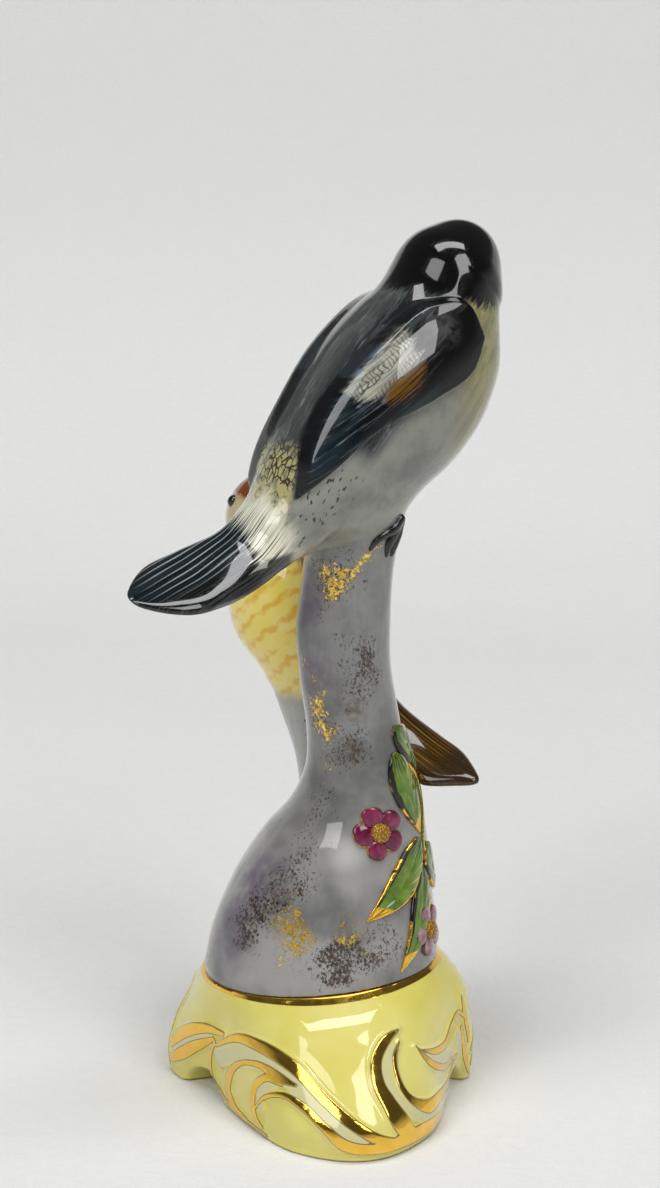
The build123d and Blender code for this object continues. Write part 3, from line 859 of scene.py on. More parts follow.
# In the birds' paint, a, b and l are along, above and left of the body's axis, in mm.
def dark_bird_finish():
    made = Finish("dark_bird_glaze")
    spot = made.place()
    x, _, z = made.parts(spot)
    a, b, l = made.parts(made.noted("body", "Vector"))
    back, side, face = made.parts(made.noted("tail", "Vector"))
    along, across, depth = made.parts(made.noted("wing", "Vector"))
    hatched, brown, blue = made.parts(made.noted("patch", "Vector"))
    smudge = made.noise(spot, 0.16, 4, 0.6)
    brushed = made.grain(a * 0.06, b * 0.5, l * 0.5, 4, 0.6, 0.3)
    fine = made.grain(a * 0.12, b * 2.3, l * 2.3, 3, 0.6, 0.2)

    # breast and belly
    colour = made.blend(smudge.step(0.35, 0.7), (0.255, 0.26, 0.22), (0.165, 0.17, 0.148))
    breast = (a + b * -0.9).step(9, 22)
    cream = made.blend(brushed.step(0.4, 0.65), (0.32, 0.29, 0.125), (0.20, 0.18, 0.07))
    colour = made.blend(breast * 0.9, colour, cream)
    shaded = made.near(spot, (10, -12, 112), 9) * smudge.step(0.4, 0.6)
    colour = made.blend(shaded * 0.5, colour, (0.13, 0.135, 0.12))
    colour = made.blend(depth.step(-3.0, -0.5) * a.step(4, -4) * 0.5, colour, (0.40, 0.41, 0.38))

    # back
    coat = made.blend(brushed.step(0.42, 0.62), (0.010, 0.012, 0.012), (0.055, 0.065, 0.066))
    coat = made.blend(fine.step(0.58, 0.68) * brushed.step(0.4, 0.55) * 0.7, coat, (0.24, 0.27, 0.275))
    coat = made.blend(fine.step(0.44, 0.36) * 0.85, coat, (0.006, 0.007, 0.008))
    aside = l.maths("ABSOLUTE")
    coat = made.blend(aside.step(6, 2) * 0.25, coat, (0.19, 0.20, 0.19))
    flank = aside.step(5.0, 7.0) * a.step(-5, -10)
    over = (b + a * -0.06 - 4.5).step(-1.5, 1.5) * (1 - flank)
    colour = made.blend(over, colour, coat)

    # rump, with scale marks that thin out towards the tail
    rump = (a + fine * 5).step(-8, -13) * aside.step(6.8, 5.2) * b.step(-1.5, 1.0)
    wander = made.noise(spot, 0.8, 2) * 1.1
    net = {"Vector": made.vector(a * 0.58 + wander, l * 0.95 - wander, b * 0.3), "Scale": 1.0}
    seam = made.node("ShaderNodeTexVoronoi", {"feature": "DISTANCE_TO_EDGE"}, net)
    scales = made.blend(smudge, (0.46, 0.42, 0.22), (0.36, 0.32, 0.13))
    dense = (a + brushed * 6).step(-17.5, -10)
    blot = made.grain(a * 0.45, l * 0.6, 0, 1).step(0.54, 0.58) * seam.step(0.10, 0.16)
    scales = made.blend(blot * 0.6, scales, (0.10, 0.10, 0.085))
    marks = seam.step(0.13, 0.07) * (dense + made.noise(spot, 0.7, 2) - 0.3).step(0.15, 0.3)
    scales = made.blend(marks * 0.92, scales, (0.018, 0.017, 0.012))
    colour = made.blend(rump, colour, scales)
    ticks = made.grain(a * 0.45, l * 2.4, b * 1.2, 1).step(0.62, 0.66) * a.step(-9, -12)
    colour = made.blend(ticks * flank * b.step(1.0, 3.0) * 0.9, colour, (0.012, 0.012, 0.012))

    # tail: white root, then black feathers parted by white lines
    spread = side + back * 0.10
    ray = made.grain(back * 0.015, spread * 1.7, 0, 2)
    thin = made.grain(back * 0.02, spread * 3.4, 0, 2)
    root = made.blend(thin.step(0.52, 0.58) * back.step(2, 6), (0.74, 0.72, 0.58), (0.03, 0.03, 0.027))
    quill = made.blend(thin.step(0.42, 0.62), (0.003, 0.0035, 0.004), (0.011, 0.021, 0.027))
    fan = ((side + back * 0.12) * 0.74 + (ray - 0.5) * 0.5).maths("FRACT")
    lines = fan.step(0.0, 0.08) * fan.step(0.24, 0.13) * (back + ray * 8).step(36, 25)
    quill = made.blend(lines * spread.step(-3.0, -1.0) * 0.85, quill, (0.36, 0.40, 0.41))
    plume = made.blend((back + (thin - 0.5) * 12 + side * 0.3).step(6.0, 8.5), root, quill)
    underside = (face + side * 0.35).step(-0.6, -1.5)
    shadow = made.blend(thin.step(0.5, 0.6), (0.004, 0.0045, 0.0045), (0.035, 0.037, 0.037))
    plume = made.blend(underside * back.step(1, 4) * 0.92, plume, shadow)
    colour = made.blend((back + (brushed - 0.5) * 6).step(0.0, 4.5), colour, plume)

    # wings
    vane = made.grain(along * 0.035, across * 0.75, l * 0.1, 2)
    barb = made.grain(along * 0.09, across * 2.2, l * 0.2, 3, 0.6)
    feather = made.blend(vane.step(0.42, 0.6), (0.0025, 0.003, 0.0035), (0.010, 0.019, 0.026))
    slate = barb.step(0.54, 0.64) * along.step(18, 24) * across.step(1.0, 3.0)
    feather = made.blend(slate * 0.8, feather, (0.06, 0.09, 0.105))
    silver = barb.step(0.66, 0.7) * vane.step(0.4, 0.5) * across.step(3.5, 5.5)
    feather = made.blend(silver, feather, (0.40, 0.44, 0.45))
    shoulder = along.step(19, 12)
    feather = made.blend(shoulder, feather, (0.0025, 0.0025, 0.0025))
    # painted reflection: a dim grey patch on the black wing near the shoulder, where a window shows in the
    # glaze
    painted_shoulder_reflection = made.near(made.vector(along, across, 0), (6.0, 7.5, 0), 4.5)
    painted_shoulder_reflection = painted_shoulder_reflection * 0.6 * made.noise(spot, 0.7, 3).step(0.25, 0.6)
    feather = made.blend(painted_shoulder_reflection, feather, (0.11, 0.11, 0.108))
    crown = across.step(9.5, 11.0).maths("MAXIMUM", across.step(4.0, 6.5) * l.step(0.0, 1.0))
    feather = made.blend(crown * 0.75, feather, coat)
    wander = made.grain(along * 0.3, across * 0.6, 0, 2)
    row = across * 0.42 + along * 0.05 + wander * 0.9
    inrow = row.maths("FRACT")
    comb = (along * 7.5 + inrow * 9 + wander * 12).maths("SINE").step(0.35, 0.95)
    white = made.blend(barb.step(0.35, 0.65), (0.42, 0.42, 0.35), (0.17, 0.17, 0.145))
    white = made.blend(comb * inrow.step(0.85, 0.25) * 0.8, white, (0.05, 0.05, 0.04))
    white = made.blend(inrow.step(0.12, 0.02) * 0.75, white, (0.03, 0.03, 0.03))
    ragged = (made.grain(along * 0.28, across * 1.8, 0, 3, 0.7) - 0.5) * 6.0
    feather = made.blend((hatched + 0.4 + ragged).step(-0.8, 1.2), feather, white)
    rust = made.blend(barb.step(0.4, 0.6), (0.02, 0.007, 0.002), (0.15, 0.066, 0.006))
    feather = made.blend((brown + ragged * 0.4).step(-0.6, 1.2) * 0.95, feather, rust)
    feather = made.blend((blue + ragged * 0.3).step(-0.1, 0.3), feather, (0.16, 0.21, 0.245))
    feather = made.blend(depth.step(0.75, 0.35) * 0.9, feather, (0.004, 0.004, 0.005))
    winged = depth.step(-0.1, 0.1)
    colour = made.blend(winged, colour, feather)

    # head
    cap = (a + b * 0.56 + (fine - 0.5) * 7).step(29.3, 31.3)
    colour = made.blend(cap, colour, (0.002, 0.002, 0.0022))

    # where the paint changes from bird to branch
    bark, gilded, bark_relief = branch_paint(made, spot)
    below = (z + x * -0.319 - 102.2 + (smudge - 0.5) * 2).step(0.35, -0.35)
    colour = made.blend(below, colour, bark)
    relief = below * bark_relief + winged * (vane * 0.9 + barb * 0.35) + (1 - winged) * fine * 0.25
    return made.fire(colour, 0.09 + gilded * below * 0.1, gilded * below, relief, 0.22, 1.0)


dark_bird.data.materials.append(dark_bird_finish())
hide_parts("upper_body", "upper_head", "upper_tail", "upper_right_wing", "upper_left_wing")

# ==== yellow bird ==============================================================================
# The second bird, cast the same way and fused to the short branch behind the trunk. Russet cap,
# yellow breast with ochre scallops, and brown wings and tail streaked with gold.
YELLOW_STAND, YELLOW_YAW = (-3, 23), 145.0
yellow_body = [
    (-13.5, 71.8, 4.5, 6.0), (-9.5, 75, 8.0, 9.0), (-4, 80.3, 12.0, 12.0), (1, 86.6, 14.0, 13.3),
    (4.5, 93, 12.5, 12.0), (6.5, 98.5, 9.0, 9.2),
]
yellow_tail = [
    (-9, 72, 4.2, 5.6), (-11, 71, 4.0, 5.5), (-19, 64.7, 2.8, 5.6), (-26.5, 60.5, 2.2, 6.0),
    (-32, 58.6, 1.8, 5.3), (-36, 57.9, 1.3, 3.0), (-39.5, 57.2, 0.6, 0.6),
]
yellow_head = (7.0, 101.5)
yellow_wing = ((0.0, 95.5), (-17.5, 69.5))
yellow_wing_shape = wing_stencil(yellow_wing)
YELLOW_BODY_LINE = (0, 85), 52.0
YELLOW_TAIL_LINE = (-11, 71), 27.0
YELLOW_ROLL = 32.0               # the bird turns its breast outwards


def yellow_bird_clay(points):
    forward, left, up = in_bird_frame(points, YELLOW_STAND, YELLOW_YAW)
    body, _, _ = leaning_limb(forward, left, up, yellow_body, YELLOW_BODY_LINE, 0, 3.0)
    head = np.sqrt((forward - yellow_head[0]) ** 2 + left**2 + (up - yellow_head[1]) ** 2) - head_radius
    body = merged(body, head, 6.0)
    tail, _, _ = leaning_limb(forward, left, up, yellow_tail, YELLOW_TAIL_LINE, -tail_roll, 1.5)
    body = merged(body, tail, 4.5)
    turned = turned_on_axis(forward, left, up, YELLOW_BODY_LINE, YELLOW_ROLL)
    body = folded_wings(body, *turned, yellow_wing, yellow_wing_shape)
    body = merged(body, side_clay(points, 57.5, 77.0), 5.0)
    return trimmed(body, 0.25 - trunk_clay(points), 0.6)


box_low, box_high = (-32, -6, 52), (36, 48, 114)
yellow_bird = cast("yellow_bird", yellow_bird_clay, box_low, box_high, [yellow_parting], FINE_GRAIN)
note_bird(
    yellow_bird, YELLOW_STAND, YELLOW_YAW, YELLOW_BODY_LINE, YELLOW_ROLL, YELLOW_TAIL_LINE, -tail_roll,
    yellow_wing, yellow_wing_shape,
)


def yellow_bird_finish():
    made = Finish("yellow_bird_glaze")
    spot = made.place()
    x, y, z = made.parts(spot)
    a, b, l = made.parts(made.noted("body", "Vector"))
    back, side, _ = made.parts(made.noted("tail", "Vector"))
    along, across, depth = made.parts(made.noted("wing", "Vector"))
    smudge = made.noise(spot, 0.2, 4, 0.6)
    fine = made.grain(a * 0.1, b * 1.6, l * 1.6, 3, 0.6, 0.2)

    # yellow breast with rows of ochre scallops, greyer towards the feet
    arch = ((l * 0.8 + b * 0.45).maths("SINE") ** 2) * -1
    rows = (a * 1.9 + arch * 1.3 + (made.noise(spot, 0.2, 2) - 0.5) * 5).maths("SINE")
    colour = made.blend(smudge.step(0.35, 0.65), (0.84, 0.66, 0.11), (0.86, 0.71, 0.22))
    broken = made.noise(made.vector(a * 1.0, b * 0.5, l * 0.5), 0.5, 3).step(0.36, 0.56)
    ochre = (rows + (made.noise(spot, 1.0, 3) - 0.5) * 1.4).step(-0.3, 1.1) * broken
    colour = made.blend(ochre * 0.85, colour, (0.72, 0.40, 0.012))
    colour = made.blend((z + smudge * 6).step(75, 70), colour, (0.40, 0.40, 0.36))
    coat = made.blend(fine.step(0.4, 0.62), (0.16, 0.075, 0.02), (0.42, 0.27, 0.09))
    coat = made.blend(fine.step(0.6, 0.68), coat, (0.62, 0.52, 0.30))
    colour = made.blend((b - 4.5).step(-1.2, 1.2), colour, coat)

    # wings and tail
    vane = made.grain(along * 0.05, across * 0.9, 0, 2)
    barb = made.grain(along * 0.1, across * 2.4, l * 0.2, 3, 0.6)
    feather = made.blend(vane.step(0.42, 0.58), (0.05, 0.022, 0.008), (0.30, 0.17, 0.05))
    feather = made.blend(barb.step(0.56, 0.64), feather, (0.60, 0.50, 0.28))
    feather = made.blend(depth.step(0.7, 0.35) * 0.8, feather, (0.03, 0.015, 0.006))
    winged = depth.step(-0.1, 0.1)
    colour = made.blend(winged, colour, feather)
    thin = made.grain(back * 0.03, side * 2.2, 0, 2)
    plume = made.blend(thin.step(0.4, 0.6), (0.035, 0.014, 0.001), (0.18, 0.085, 0.004))
    plume = made.blend(thin.step(0.60, 0.66) * 0.8, plume, (0.36, 0.24, 0.05))
    plume = made.blend((back + thin * 6).step(24, 28) * 0.85, plume, (0.03, 0.018, 0.008))
    colour = made.blend((back + (thin - 0.5) * 6).step(1, 4), colour, plume)

    # head: pale cheeks under a russet cap
    cheek = made.blend(smudge.step(0.3, 0.7), (0.55, 0.47, 0.28), (0.42, 0.33, 0.16))
    colour = made.blend(a.step(17.5, 19.5), colour, cheek)
    cap = (z + b * 0.55 + (fine - 0.5) * 2.5).step(106.8, 107.8) * a.step(14, 17)
    colour = made.blend(cap, colour, (0.20, 0.05, 0.008))

    # where the paint changes from bird to branch
    bark, gilded, bark_relief = branch_paint(made, spot)
    over_branch = made.near(made.vector(x, y, 0), (-1, 22, 0), 18).step(0.1, 0.25)
    below = (z - 67.0 + (smudge - 0.5) * 3).step(0.8, -0.8) * over_branch
    colour = made.blend(below, colour, bark)
    relief = below * bark_relief + winged * (vane * 0.9 + barb * 0.35) + (1 - winged) * fine * 0.25
    return made.fire(colour, 0.1 + gilded * below * 0.1, gilded * below, relief, 0.22, 1.0)


yellow_bird.data.materials.append(yellow_bird_finish())
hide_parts("lower_body", "lower_head", "lower_tail", "lower_right_wing", "lower_left_wing")

# ==== leaves, stem and flowers =================================================================
# Thin slips of porcelain pressed onto the trunk's right front: five green leaves with gilded
# edges on a gilded stem, and two magenta flowers with grainy yellow centres.
garland_facing = -45.0           # bearing of the plane it is drawn on, degrees
bedded = 0.25                    # how far each slip goes into the trunk, mm
# Each leaf: where it starts and ends, its half width, and how its centre line bends.
garland_leaves = [
    ((2.4, 69.5), (9.8, 57.5), 2.6, 0.05), ((1.3, 65.0), (6.6, 49.0), 3.0, -0.04),
    ((6.0, 48.5), (-8.5, 36.0), 3.0, 0.06), ((6.0, 43.5), (-3.2, 26.0), 2.5, 0.05),
    ((8.0, 47.0), (13.0, 36.0), 2.3, -0.05),
]
garland_stem = [(10.8, 61.0), (8.8, 54.5), (7.4, 48.0), (7.6, 41.5), (7.0, 36.5)]
flower_spots = [(-62.0, 51.3), (-27.0, 31.8)]
petal_count = 5


def on_trunk(aside, height, facing):
    """Where a place drawn on an upright plane lands on the trunk, and the way out of the clay."""
    turn = radians(facing)
    outward = np.array([cos(turn), sin(turn), 0])
    start = np.column_stack([5.0 - sin(turn) * aside, cos(turn) * aside, height])
    reach = np.full(len(aside), 26.0)
    for _ in range(60):
        reach -= branch_clay(start + outward * reach[:, None]) * 0.6
    place = start + outward * reach[:, None]
    _, way = steepest(branch_clay, place)
    return place, way / np.linalg.norm(way, axis=1)[:, None]


def pressed_slips(name, slips, cells=(44, 20)):
    """Closed slips of clay pressed on the trunk. Each has a facing, a function of the shares
    along and across it (-1 to 1) that gives its place on the plane, and one for its lift."""
    points, faces, shares = [], [], []
    for number, (facing, plan, lift) in enumerate(slips):
        s, v = np.meshgrid(np.linspace(0, 1, cells[0]), np.linspace(-1, 1, cells[1]), indexing="ij")
        s, v = s.ravel(), v.ravel()
        place, way = on_trunk(*plan(s, v), facing)
        base = sum(len(made) for made in points)
        top = place + way * lift(s, v)[:, None]
        points += [top, place - way * bedded]
        shares += [np.column_stack([s, v, np.full(len(s), number)])] * 2
        rows, columns = cells
        at = np.arange(rows * columns).reshape(rows, columns) + base
        sheet = np.stack([at[:-1, :-1], at[1:, :-1], at[1:, 1:], at[:-1, 1:]], -1).reshape(-1, 4)
        faces += sheet.tolist() + (sheet[:, ::-1] + rows * columns).tolist()
        rim = np.concatenate([at[:, 0], at[-1, 1:], at[-2::-1, -1], at[0, -2:0:-1]])
        low = rim + rows * columns
        faces += np.stack([rim, low, np.roll(low, -1), np.roll(rim, -1)], -1).tolist()
    mesh = bpy.data.meshes.new(name)
    mesh.from_pydata(np.concatenate(points) * MM, [], faces)
    mesh.update()
    bm = bmesh.new()
    bm.from_mesh(mesh)
    bmesh.ops.recalc_face_normals(bm, faces=bm.faces[:])
    bm.to_mesh(mesh)
    bm.free()
    piece = bpy.data.objects.new(name, mesh)
    bpy.context.collection.objects.link(piece)
    mesh.polygons.foreach_set("use_smooth", [True] * len(mesh.polygons))
    note(piece, "slip", np.concatenate(shares))
    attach(piece, "root")
    return piece


def drawn_from(start, end, half_width, profile, bend=0.0):
    """The plan of a slip that runs from start to end: its centre line bends aside by a share of
    its length, and its half width follows a profile of the share along it."""
    start, end = np.array(start, float), np.array(end, float)
    run = end - start
    aside = np.array([-run[1], run[0]]) / np.hypot(*run)

    def plan(s, v):
        off = bend * np.hypot(*run) * np.sin(pi * s) + v * np.maximum(profile(s), 0.03) * half_width
        return start[0] + run[0] * s + aside[0] * off, start[1] + run[1] * s + aside[1] * off

    return plan


def leaf_profile(s):
    return np.sin(pi * s**0.8) ** 0.85 * (1 - 0.35 * s)


def leaf_lift(s, v):
    edge = np.minimum(leaf_profile(s) * 2.0, 1)
    vein = np.exp(-((v / 0.10) ** 2)) * 0.22 + 0.06 * np.cos(26 * (s + 0.35 * np.abs(v))) * (1 - v * v)
    return 0.2 + edge * (0.6 * np.sqrt(np.maximum(1 - v * v * 0.9, 0)) + 0.25 * v * v - vein)


leaves = pressed_slips(
    "leaves",
    [
        (garland_facing, drawn_from(start, end, half_width * 1.25, leaf_profile, bend), leaf_lift)
        for start, end, half_width, bend in garland_leaves
    ],
)


def leaf_finish():
    made = Finish("leaf_enamel")
    spot = made.place()
    s, v, _ = made.parts(made.noted("slip", "Vector"))
    off = v.maths("ABSOLUTE")
    wash = made.noise(spot, 0.35, 3)
    green = made.blend(wash.step(0.3, 0.7), (0.075, 0.155, 0.008), (0.16, 0.27, 0.02))
    green = made.blend((v * 0.5 + wash).step(0.75, 1.0) * 0.5, green, (0.30, 0.40, 0.10))
    barbs = ((s * 1.2 + v * 0.35) * 40).maths("SINE").step(0.75, 0.97)
    barbed = barbs * v.step(0.2, 0.7) * s.step(0.1, 0.2) * s.step(0.55, 0.4)
    green = made.blend(barbed, green, (0.70, 0.62, 0.20))
    # black hatching at the leaf's base: partly painted outline, partly painted dark reflection of gilded
    # hatching
    ink = s.step(0.30, 0.12) * (v * 22 + s * 6).maths("SINE").step(0.0, 0.6)
    green = made.blend(ink * 0.9, green, (0.008, 0.012, 0.004))
    wander = (wash - 0.5) * 0.5
    # black edge lines, strongest on the left edge: partly painted outline, partly painted dark reflection of
    # the gilded edge
    stroke = (wander - v).step(0.64, 0.74) + (off + wander).step(0.86, 0.92) * 0.6
    green = made.blend(stroke.step(0.1, 0.7), green, (0.006, 0.007, 0.004))
    gilded = (v + wander * 0.4).step(0.80, 0.86).maths("MAXIMUM", (s + v * 0.05).step(0.78, 0.82))
    worn = (-v - wander * 0.5).step(0.86, 0.9) * made.noise(spot, 0.25, 2).step(0.48, 0.55)
    gilded = gilded.maths("MAXIMUM", worn)
    colour = made.blend(gilded, green, BRIGHT_GOLD)
    return made.fire(colour, 0.1 + gilded * 0.05, gilded, wash + barbs * 0.4, 0.12, 1.0 - gilded * 0.6)


leaves.data.materials.append(leaf_finish())
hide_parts("leaves")

stem_run = smooth_run(garland_stem, 0.4)


def stem_plan(s, v):
    at = s * (len(stem_run) - 1)
    step = np.arange(len(stem_run))
    return np.interp(at, step, stem_run[:, 0]) + v * 0.3, np.interp(at, step, stem_run[:, 1])


def stem_lift(s, v):
    return 0.1 + 0.38 * np.sqrt(1 - v * v * 0.96)


stem = pressed_slips("stem", [(garland_facing, stem_plan, stem_lift)], (110, 9))


def stem_finish():
    made = Finish("stem_gilding")
    spot = made.place()
    s, v, _ = made.parts(made.noted("slip", "Vector"))
    wear = made.noise(spot, 0.7, 4)
    gilded = (v.maths("ABSOLUTE") + wear * 0.5).step(1.15, 0.95)
    gold = made.blend(wear.step(0.3, 0.7), DARK_GOLD, BRIGHT_GOLD)
    colour = made.blend(gilded, (0.10, 0.20, 0.02), gold)
    relief = wear + (s * 200).maths("SINE") * 0.05
    return made.fire(colour, 0.16 + wear * 0.1, gilded, relief, 0.15, 0.4)


stem.data.materials.append(stem_finish())
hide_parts("stem")


def petal_profile(s):
    return np.sqrt(np.maximum(1 - np.abs(2 * s - 1) ** 2.3, 0))


def petal_lift(s, v):
    crown = np.maximum(1 - v * v, 0) * np.maximum(1 - (2 * s - 1) ** 4, 0)
    return 0.25 + 0.55 * np.sqrt(crown) + 0.15 * s


def centre_profile(s):
    return np.sqrt(np.maximum(1 - (2 * s - 1) ** 2, 0))


def centre_lift(s, v):
    dome = np.maximum(1 - (2 * s - 1) ** 2, 0) * np.maximum(1 - v * v, 0)
    return 0.7 + 0.75 * np.sqrt(dome) + 0.1 * np.sin(27 * s) * np.sin(13 * v)


petal_slips = []
centre_slips = []
for facing, height in flower_spots:
    for petal in range(petal_count):
        turn = 2 * pi * petal / petal_count + pi / 2 + 0.35
        way = np.array([cos(turn), sin(turn)])
        middle = np.array([0, height])
        plan = drawn_from(middle + way * 1.2, middle + way * 4.9, 2.05, petal_profile)
        petal_slips.append((facing, plan, petal_lift))
    plan = drawn_from((-1.8, height), (1.8, height), 1.8, centre_profile)
    centre_slips.append((facing, plan, centre_lift))
petals = pressed_slips("flower_petals", petal_slips, (20, 14))
centres = pressed_slips("flower_centres", centre_slips, (24, 24))


def petal_finish():
    made = Finish("petal_enamel")
    spot = made.place()
    s, v, number = made.parts(made.noted("slip", "Vector"))
    second = number.step(petal_count - 0.6, petal_count - 0.4)
    wash = made.noise(spot, 0.6, 3)
    rose = made.blend(wash.step(0.3, 0.7), (0.12, 0.006, 0.035), (0.27, 0.022, 0.09))
    pale = made.blend(wash.step(0.3, 0.7), (0.26, 0.09, 0.13), (0.42, 0.28, 0.30))
    colour = made.blend(second, rose, pale)
    veins = (v * 11).maths("SINE").step(0.6, 0.95) * s.step(0.7, 0.3)
    colour = made.blend(veins * 0.6, colour, (0.06, 0.004, 0.02))
    off = v.maths("ABSOLUTE")
    rim = off.maths("MAXIMUM", (s - 0.12) * 1.08)
    colour = made.blend(rim.step(0.80, 0.86) * 0.8, colour, (0.04, 0.004, 0.012))
    gilded = rim.step(0.90, 0.94) * made.noise(spot, 0.25, 2).step(0.4, 0.5)
    colour = made.blend(gilded, colour, BRIGHT_GOLD)
    return made.fire(colour, 0.13 + gilded * 0.08, gilded, wash, 0.1, 1.0 - gilded * 0.6)


def centre_finish():
    made = Finish("flower_centre_enamel")
    spot = made.place()
    grain = made.node("ShaderNodeTexVoronoi", {}, {"Vector": spot, "Scale": 2.6})
    colour = made.blend(grain.step(0.2, 0.5), (0.72, 0.50, 0.03), (0.30, 0.12, 0.006))
    gilded = grain.step(0.22, 0.12) * 0.9
    return made.fire(colour, 0.2, gilded, -grain, 0.3, 0.6)


petals.data.materials.append(petal_finish())
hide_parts("flower_petals")
centres.data.materials.append(centre_finish())
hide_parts("flower_centres")

# ==== beaks, eyes and claws ====================================================================
# Small solid parts fired in place: a dark pointed beak and two glass-bright eyes on each head,
# and three clawed toes to each foot, hooked over the top of the branch.
# Each bird: where it stands, its yaw, its head's forward and up, and the bearing it looks in.
face_rows = {
    "upper": (DARK_STAND, DARK_YAW, dark_head, 92.0),
    "lower": (YELLOW_STAND, YELLOW_YAW, yellow_head, 122.0),
}
eye_spread = {"upper": 62.0, "lower": 78.0}
eye_height, eye_radius = 25.0, 1.3
beak_length, beak_radius = 8.0, 2.1


def head_middle(bird):
    stand, yaw, head, _ = face_rows[bird]
    turn = radians(yaw)
    return np.array([stand[0] + head[0] * cos(turn), stand[1] + head[0] * sin(turn), head[1]])


def direction(bearing, rise):
    turn, lift = radians(bearing), radians(rise)
    return np.array([cos(turn) * cos(lift), sin(turn) * cos(lift), sin(lift)])


def beak_clay(start, towards, length, radius):
    def clay(points):
        gap = points - start
        along = gap @ towards
        share = np.clip(along / length, 0, 1)
        droop = np.array([0, 0, -0.5]) * (share**2)[:, None]
        off = gap - along[:, None] * towards - droop
        around = np.linalg.norm(off, axis=1)
        mouth = 0.22 * np.exp(-((off[:, 2] / 0.18) ** 2)) * ramp(share, 0.15, 0.35)
        side = around - radius * (1 - share) ** 0.8 - 0.28 + mouth * (1 - share * 0.7)
        return trimmed(side * 0.9, np.maximum(-along, along - length), 0.6)

    return clay


def dark_shine(name, warm, deep):
    """A small dark enamel with a warmer tint mottled through it."""
    made = Finish(name)
    spot = made.place()
    colour = made.blend(made.noise(spot, 0.8, 3).step(0.4, 0.7), deep, warm)
    return made.fire(colour, 0.1, 0.0, made.noise(spot, 2.0, 3), 0.06, 1.0)


beak_paint = dark_shine("beak_enamel", (0.06, 0.055, 0.05), (0.012, 0.012, 0.012))
claw_paint = dark_shine("claw_enamel", (0.03, 0.03, 0.03), (0.004, 0.004, 0.004))
for bird in face_rows:
    towards = direction(face_rows[bird][3], -7)
    start = head_middle(bird) + towards * (head_radius - 1.6)
    clay = beak_clay(start, towards, beak_length, beak_radius)
    tip = start + towards * beak_length
    beak = cast(f"{bird}_beak", clay, start - 4, tip + 4, (), FINEST_GRAIN)
    beak.data.materials.append(beak_paint)
    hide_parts(f"{bird}_beak")


def eye_finish(bird):
    made = Finish(f"{bird}_eye_enamel")
    spot = made.place()
    ring = made.noted("ring")
    colour = made.blend(ring.step(0.62, 0.7), (0.002, 0.002, 0.002), (0.03, 0.014, 0.006))
    colour = made.blend(ring.step(0.93, 0.99), colour, (0.012, 0.01, 0.008))
    colour = made.blend(made.noise(spot, 1.5, 2).step(0.5, 0.8) * 0.2, colour, (0.05, 0.04, 0.03))
    return made.fire(colour, 0.06, 0.0, ring, 0.05, 1.0)


for bird in face_rows:
    middle = head_middle(bird)
    ways = [direction(face_rows[bird][3] + side * eye_spread[bird], eye_height) for side in (1, -1)]
    places = [middle + way * (head_radius - 0.55) for way in ways]

    def eye_clay(points, places=places):
        return np.minimum(*[np.linalg.norm(points - place, axis=1) - eye_radius for place in places])

    low, high = np.min(places, axis=0) - 2.5, np.max(places, axis=0) + 2.5
    eyes = cast(f"{bird}_eyes", eye_clay, low, high, (), FINEST_GRAIN)
    spots = surface(eyes)
    off = [
        np.linalg.norm(np.cross(spots - place, way), axis=1) / eye_radius
        for place, way in zip(places, ways)
    ]
    mine = np.linalg.norm(spots - places[0], axis=1) < np.linalg.norm(spots - places[1], axis=1)
    note(eyes, "ring", np.where(mine, off[0], off[1]))
    eyes.data.materials.append(eye_finish(bird))
    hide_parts(f"{bird}_eyes")

# Each toe is a run of bearing round the perch, height and half width, drawn for the right foot
# and repeated for the left one on the other side of the bird.
dark_toes = [
    [(-27, 107.5, 0.9), (-36, 106.0, 1.0), (-50, 105.2, 0.8), (-63, 104.0, 0.65), (-70, 102.6, 0.35)],
    [(-27, 107.0, 0.9), (-34, 105.0, 1.0), (-41, 103.2, 0.85), (-44, 101.0, 0.35)],
    [(-24, 107.0, 0.9), (-25, 104.8, 1.0), (-29, 102.8, 0.85), (-32, 100.8, 0.35)],
]
yellow_toes = [
    [(292, 71.0, 0.8), (284, 70.0, 0.9), (277, 68.8, 0.75), (272, 67.2, 0.35)],
    [(296, 70.5, 0.8), (293, 68.8, 0.9), (289, 67.2, 0.75), (286, 65.6, 0.35)],
    [(301, 70.5, 0.8), (303, 68.8, 0.9), (303, 67.2, 0.75), (302, 65.6, 0.35)],
]


def gripping(body, axis):
    """Finds the fused surface round an upright axis, at bearings and heights."""
    def place(spots):
        turn = np.radians(spots[:, 0])
        outward = np.column_stack([np.cos(turn), np.sin(turn), 0 * turn])
        start = np.column_stack([np.full(len(turn), axis[0]), np.full(len(turn), axis[1]), spots[:, 1]])
        reach = np.full(len(turn), 16.0)
        for _ in range(60):
            reach -= body(start + outward * reach[:, None]) * 0.5
        return start + outward * (reach + 0.05)[:, None]

    return place


def beads_clay(beads):
    places, radii = beads

    def clay(points):
        gap = np.linalg.norm(points[:, None] - places[None], axis=2) - radii
        return gap.min(axis=1)

    return clay


for bird, toes, facing, body, axis in (
    ("upper", dark_toes, DARK_YAW, dark_bird_clay, (6.4, 0.3)),
    ("lower", yellow_toes, YELLOW_YAW, yellow_bird_clay, (-2.6, 23.4)),
):
    other_foot = [[(2 * facing - bearing, height, width) for bearing, height, width in toe] for toe in toes]
    beads = stroke_beads(toes + other_foot, gripping(body, axis), 0.25)
    low, high = beads[0].min(axis=0) - 2, beads[0].max(axis=0) + 2
    feet = cast(f"{bird}_feet", beads_clay(beads), low, high, (), GRAIN * 0.55)
    feet.data.materials.append(claw_paint)
    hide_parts(f"{bird}_feet")

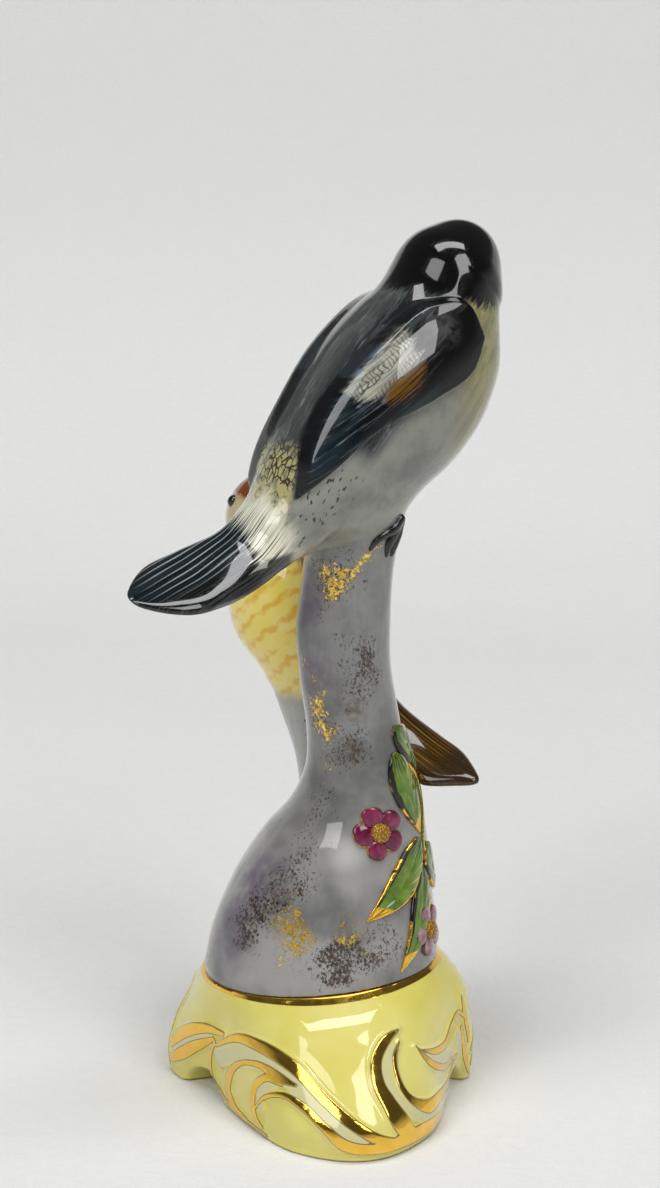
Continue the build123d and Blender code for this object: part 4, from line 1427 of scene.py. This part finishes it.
# ==== setting ==================================================================================
# A pale sweep of paper under and behind the figurine, in a room with two window panes behind
# the viewer, a strip light overhead and dim upper walls.
def sweep_of_paper():
    width, front, reach, rise, bend = 0.9, -0.95, 0.62, 0.40, 0.28
    quarter = np.linspace(0, pi / 2, 16)
    curve = [(reach - bend + bend * sin(turn), bend - bend * cos(turn)) for turn in quarter]
    profile = [(front, 0.0), *curve, (reach, rise)]
    mesh = bpy.data.meshes.new("paper_sweep")
    points = [(x, y, z) for x in (-width, width) for y, z in profile]
    n = len(profile)
    mesh.from_pydata(points, [], [(i, n + i, n + i + 1, i + 1) for i in range(n - 1)])
    mesh.polygons.foreach_set("use_smooth", [True] * len(mesh.polygons))
    paper = bpy.data.objects.new("paper_sweep", mesh)
    bpy.context.collection.objects.link(paper)
    made = Finish("paper")
    spot = made.place()
    upright, level = made.stretched(spot, (1.6, 1.6, 0.5)), made.stretched(spot, (0.4, 0.4, 2.0))
    weave = made.noise(upright, 0.9, 2) + made.noise(level, 0.9, 2)
    colour = made.blend(made.noise(spot, 0.012, 2), (0.80, 0.80, 0.785), (0.84, 0.84, 0.825))
    _, _, z = made.parts(spot)
    # painted shade: the paper darkens as it rises up the back, for the light falling off with height
    colour = made.blend(z.step(0, 170), colour, (0.69, 0.69, 0.675))
    colour = made.blend(weave.step(0.7, 1.3) * 0.15, colour, (0.70, 0.70, 0.69))
    mesh.materials.append(made.fire(colour, 0.9, 0.0, weave, 0.15, 0.0))


sweep_of_paper()


def window(name, bearing, rise, away, size, power):
    """A soft pane seen from the figurine at a bearing from the front and a rise, in degrees."""
    light = bpy.data.lights.new(name, "AREA")
    light.shape = "RECTANGLE"
    light.size, light.size_y = size
    light.energy = power
    lamp = bpy.data.objects.new(name, light)
    aim = Vector((0, 0, 0.12))
    turn, lift = radians(bearing), radians(rise)
    towards = Vector((sin(turn) * cos(lift), -cos(turn) * cos(lift), sin(lift)))
    lamp.location = aim + towards * away
    lamp.rotation_euler = (-towards).to_track_quat("-Z", "Y").to_euler()
    bpy.context.collection.objects.link(lamp)


window("left_pane", -38, 40, 1.4, (0.66, 0.66), 6.0)
window("right_pane", 36, 47, 1.4, (0.55, 0.62), 6.4)
window("ceiling", 10, 84, 1.5, (1.3, 0.42), 12.5)

world = bpy.data.worlds.new("room")
world.use_nodes = True
nodes, links = world.node_tree.nodes, world.node_tree.links
gaze = nodes.new("ShaderNodeTexCoord")
height = nodes.new("ShaderNodeSeparateXYZ")
walls = nodes.new("ShaderNodeValToRGB")
links.new(gaze.outputs["Generated"], height.inputs[0])
links.new(height.outputs["Z"], walls.inputs["Fac"])
links.new(walls.outputs["Color"], nodes["Background"].inputs["Color"])
lit_wall, dim_wall = walls.color_ramp.elements
lit_wall.position, lit_wall.color = 0.12, (0.56, 0.56, 0.55, 1)
dim_wall.position, dim_wall.color = 0.36, (0.085, 0.087, 0.09, 1)
bpy.context.scene.world = world
bpy.context.scene.view_settings.view_transform = "Standard"

camera_dip = 13                  # how far the camera looks down, degrees
camera_data = bpy.data.cameras.new("camera")
camera_data.lens = 80
camera_data.sensor_width = 36
camera = bpy.data.objects.new("camera", camera_data)
camera.location = (0.002, -0.464, 0.200)
camera.rotation_euler = (radians(90 - camera_dip), 0, 0)
camera_data.clip_start = 0.01
bpy.context.collection.objects.link(camera)
bpy.context.scene.camera = camera
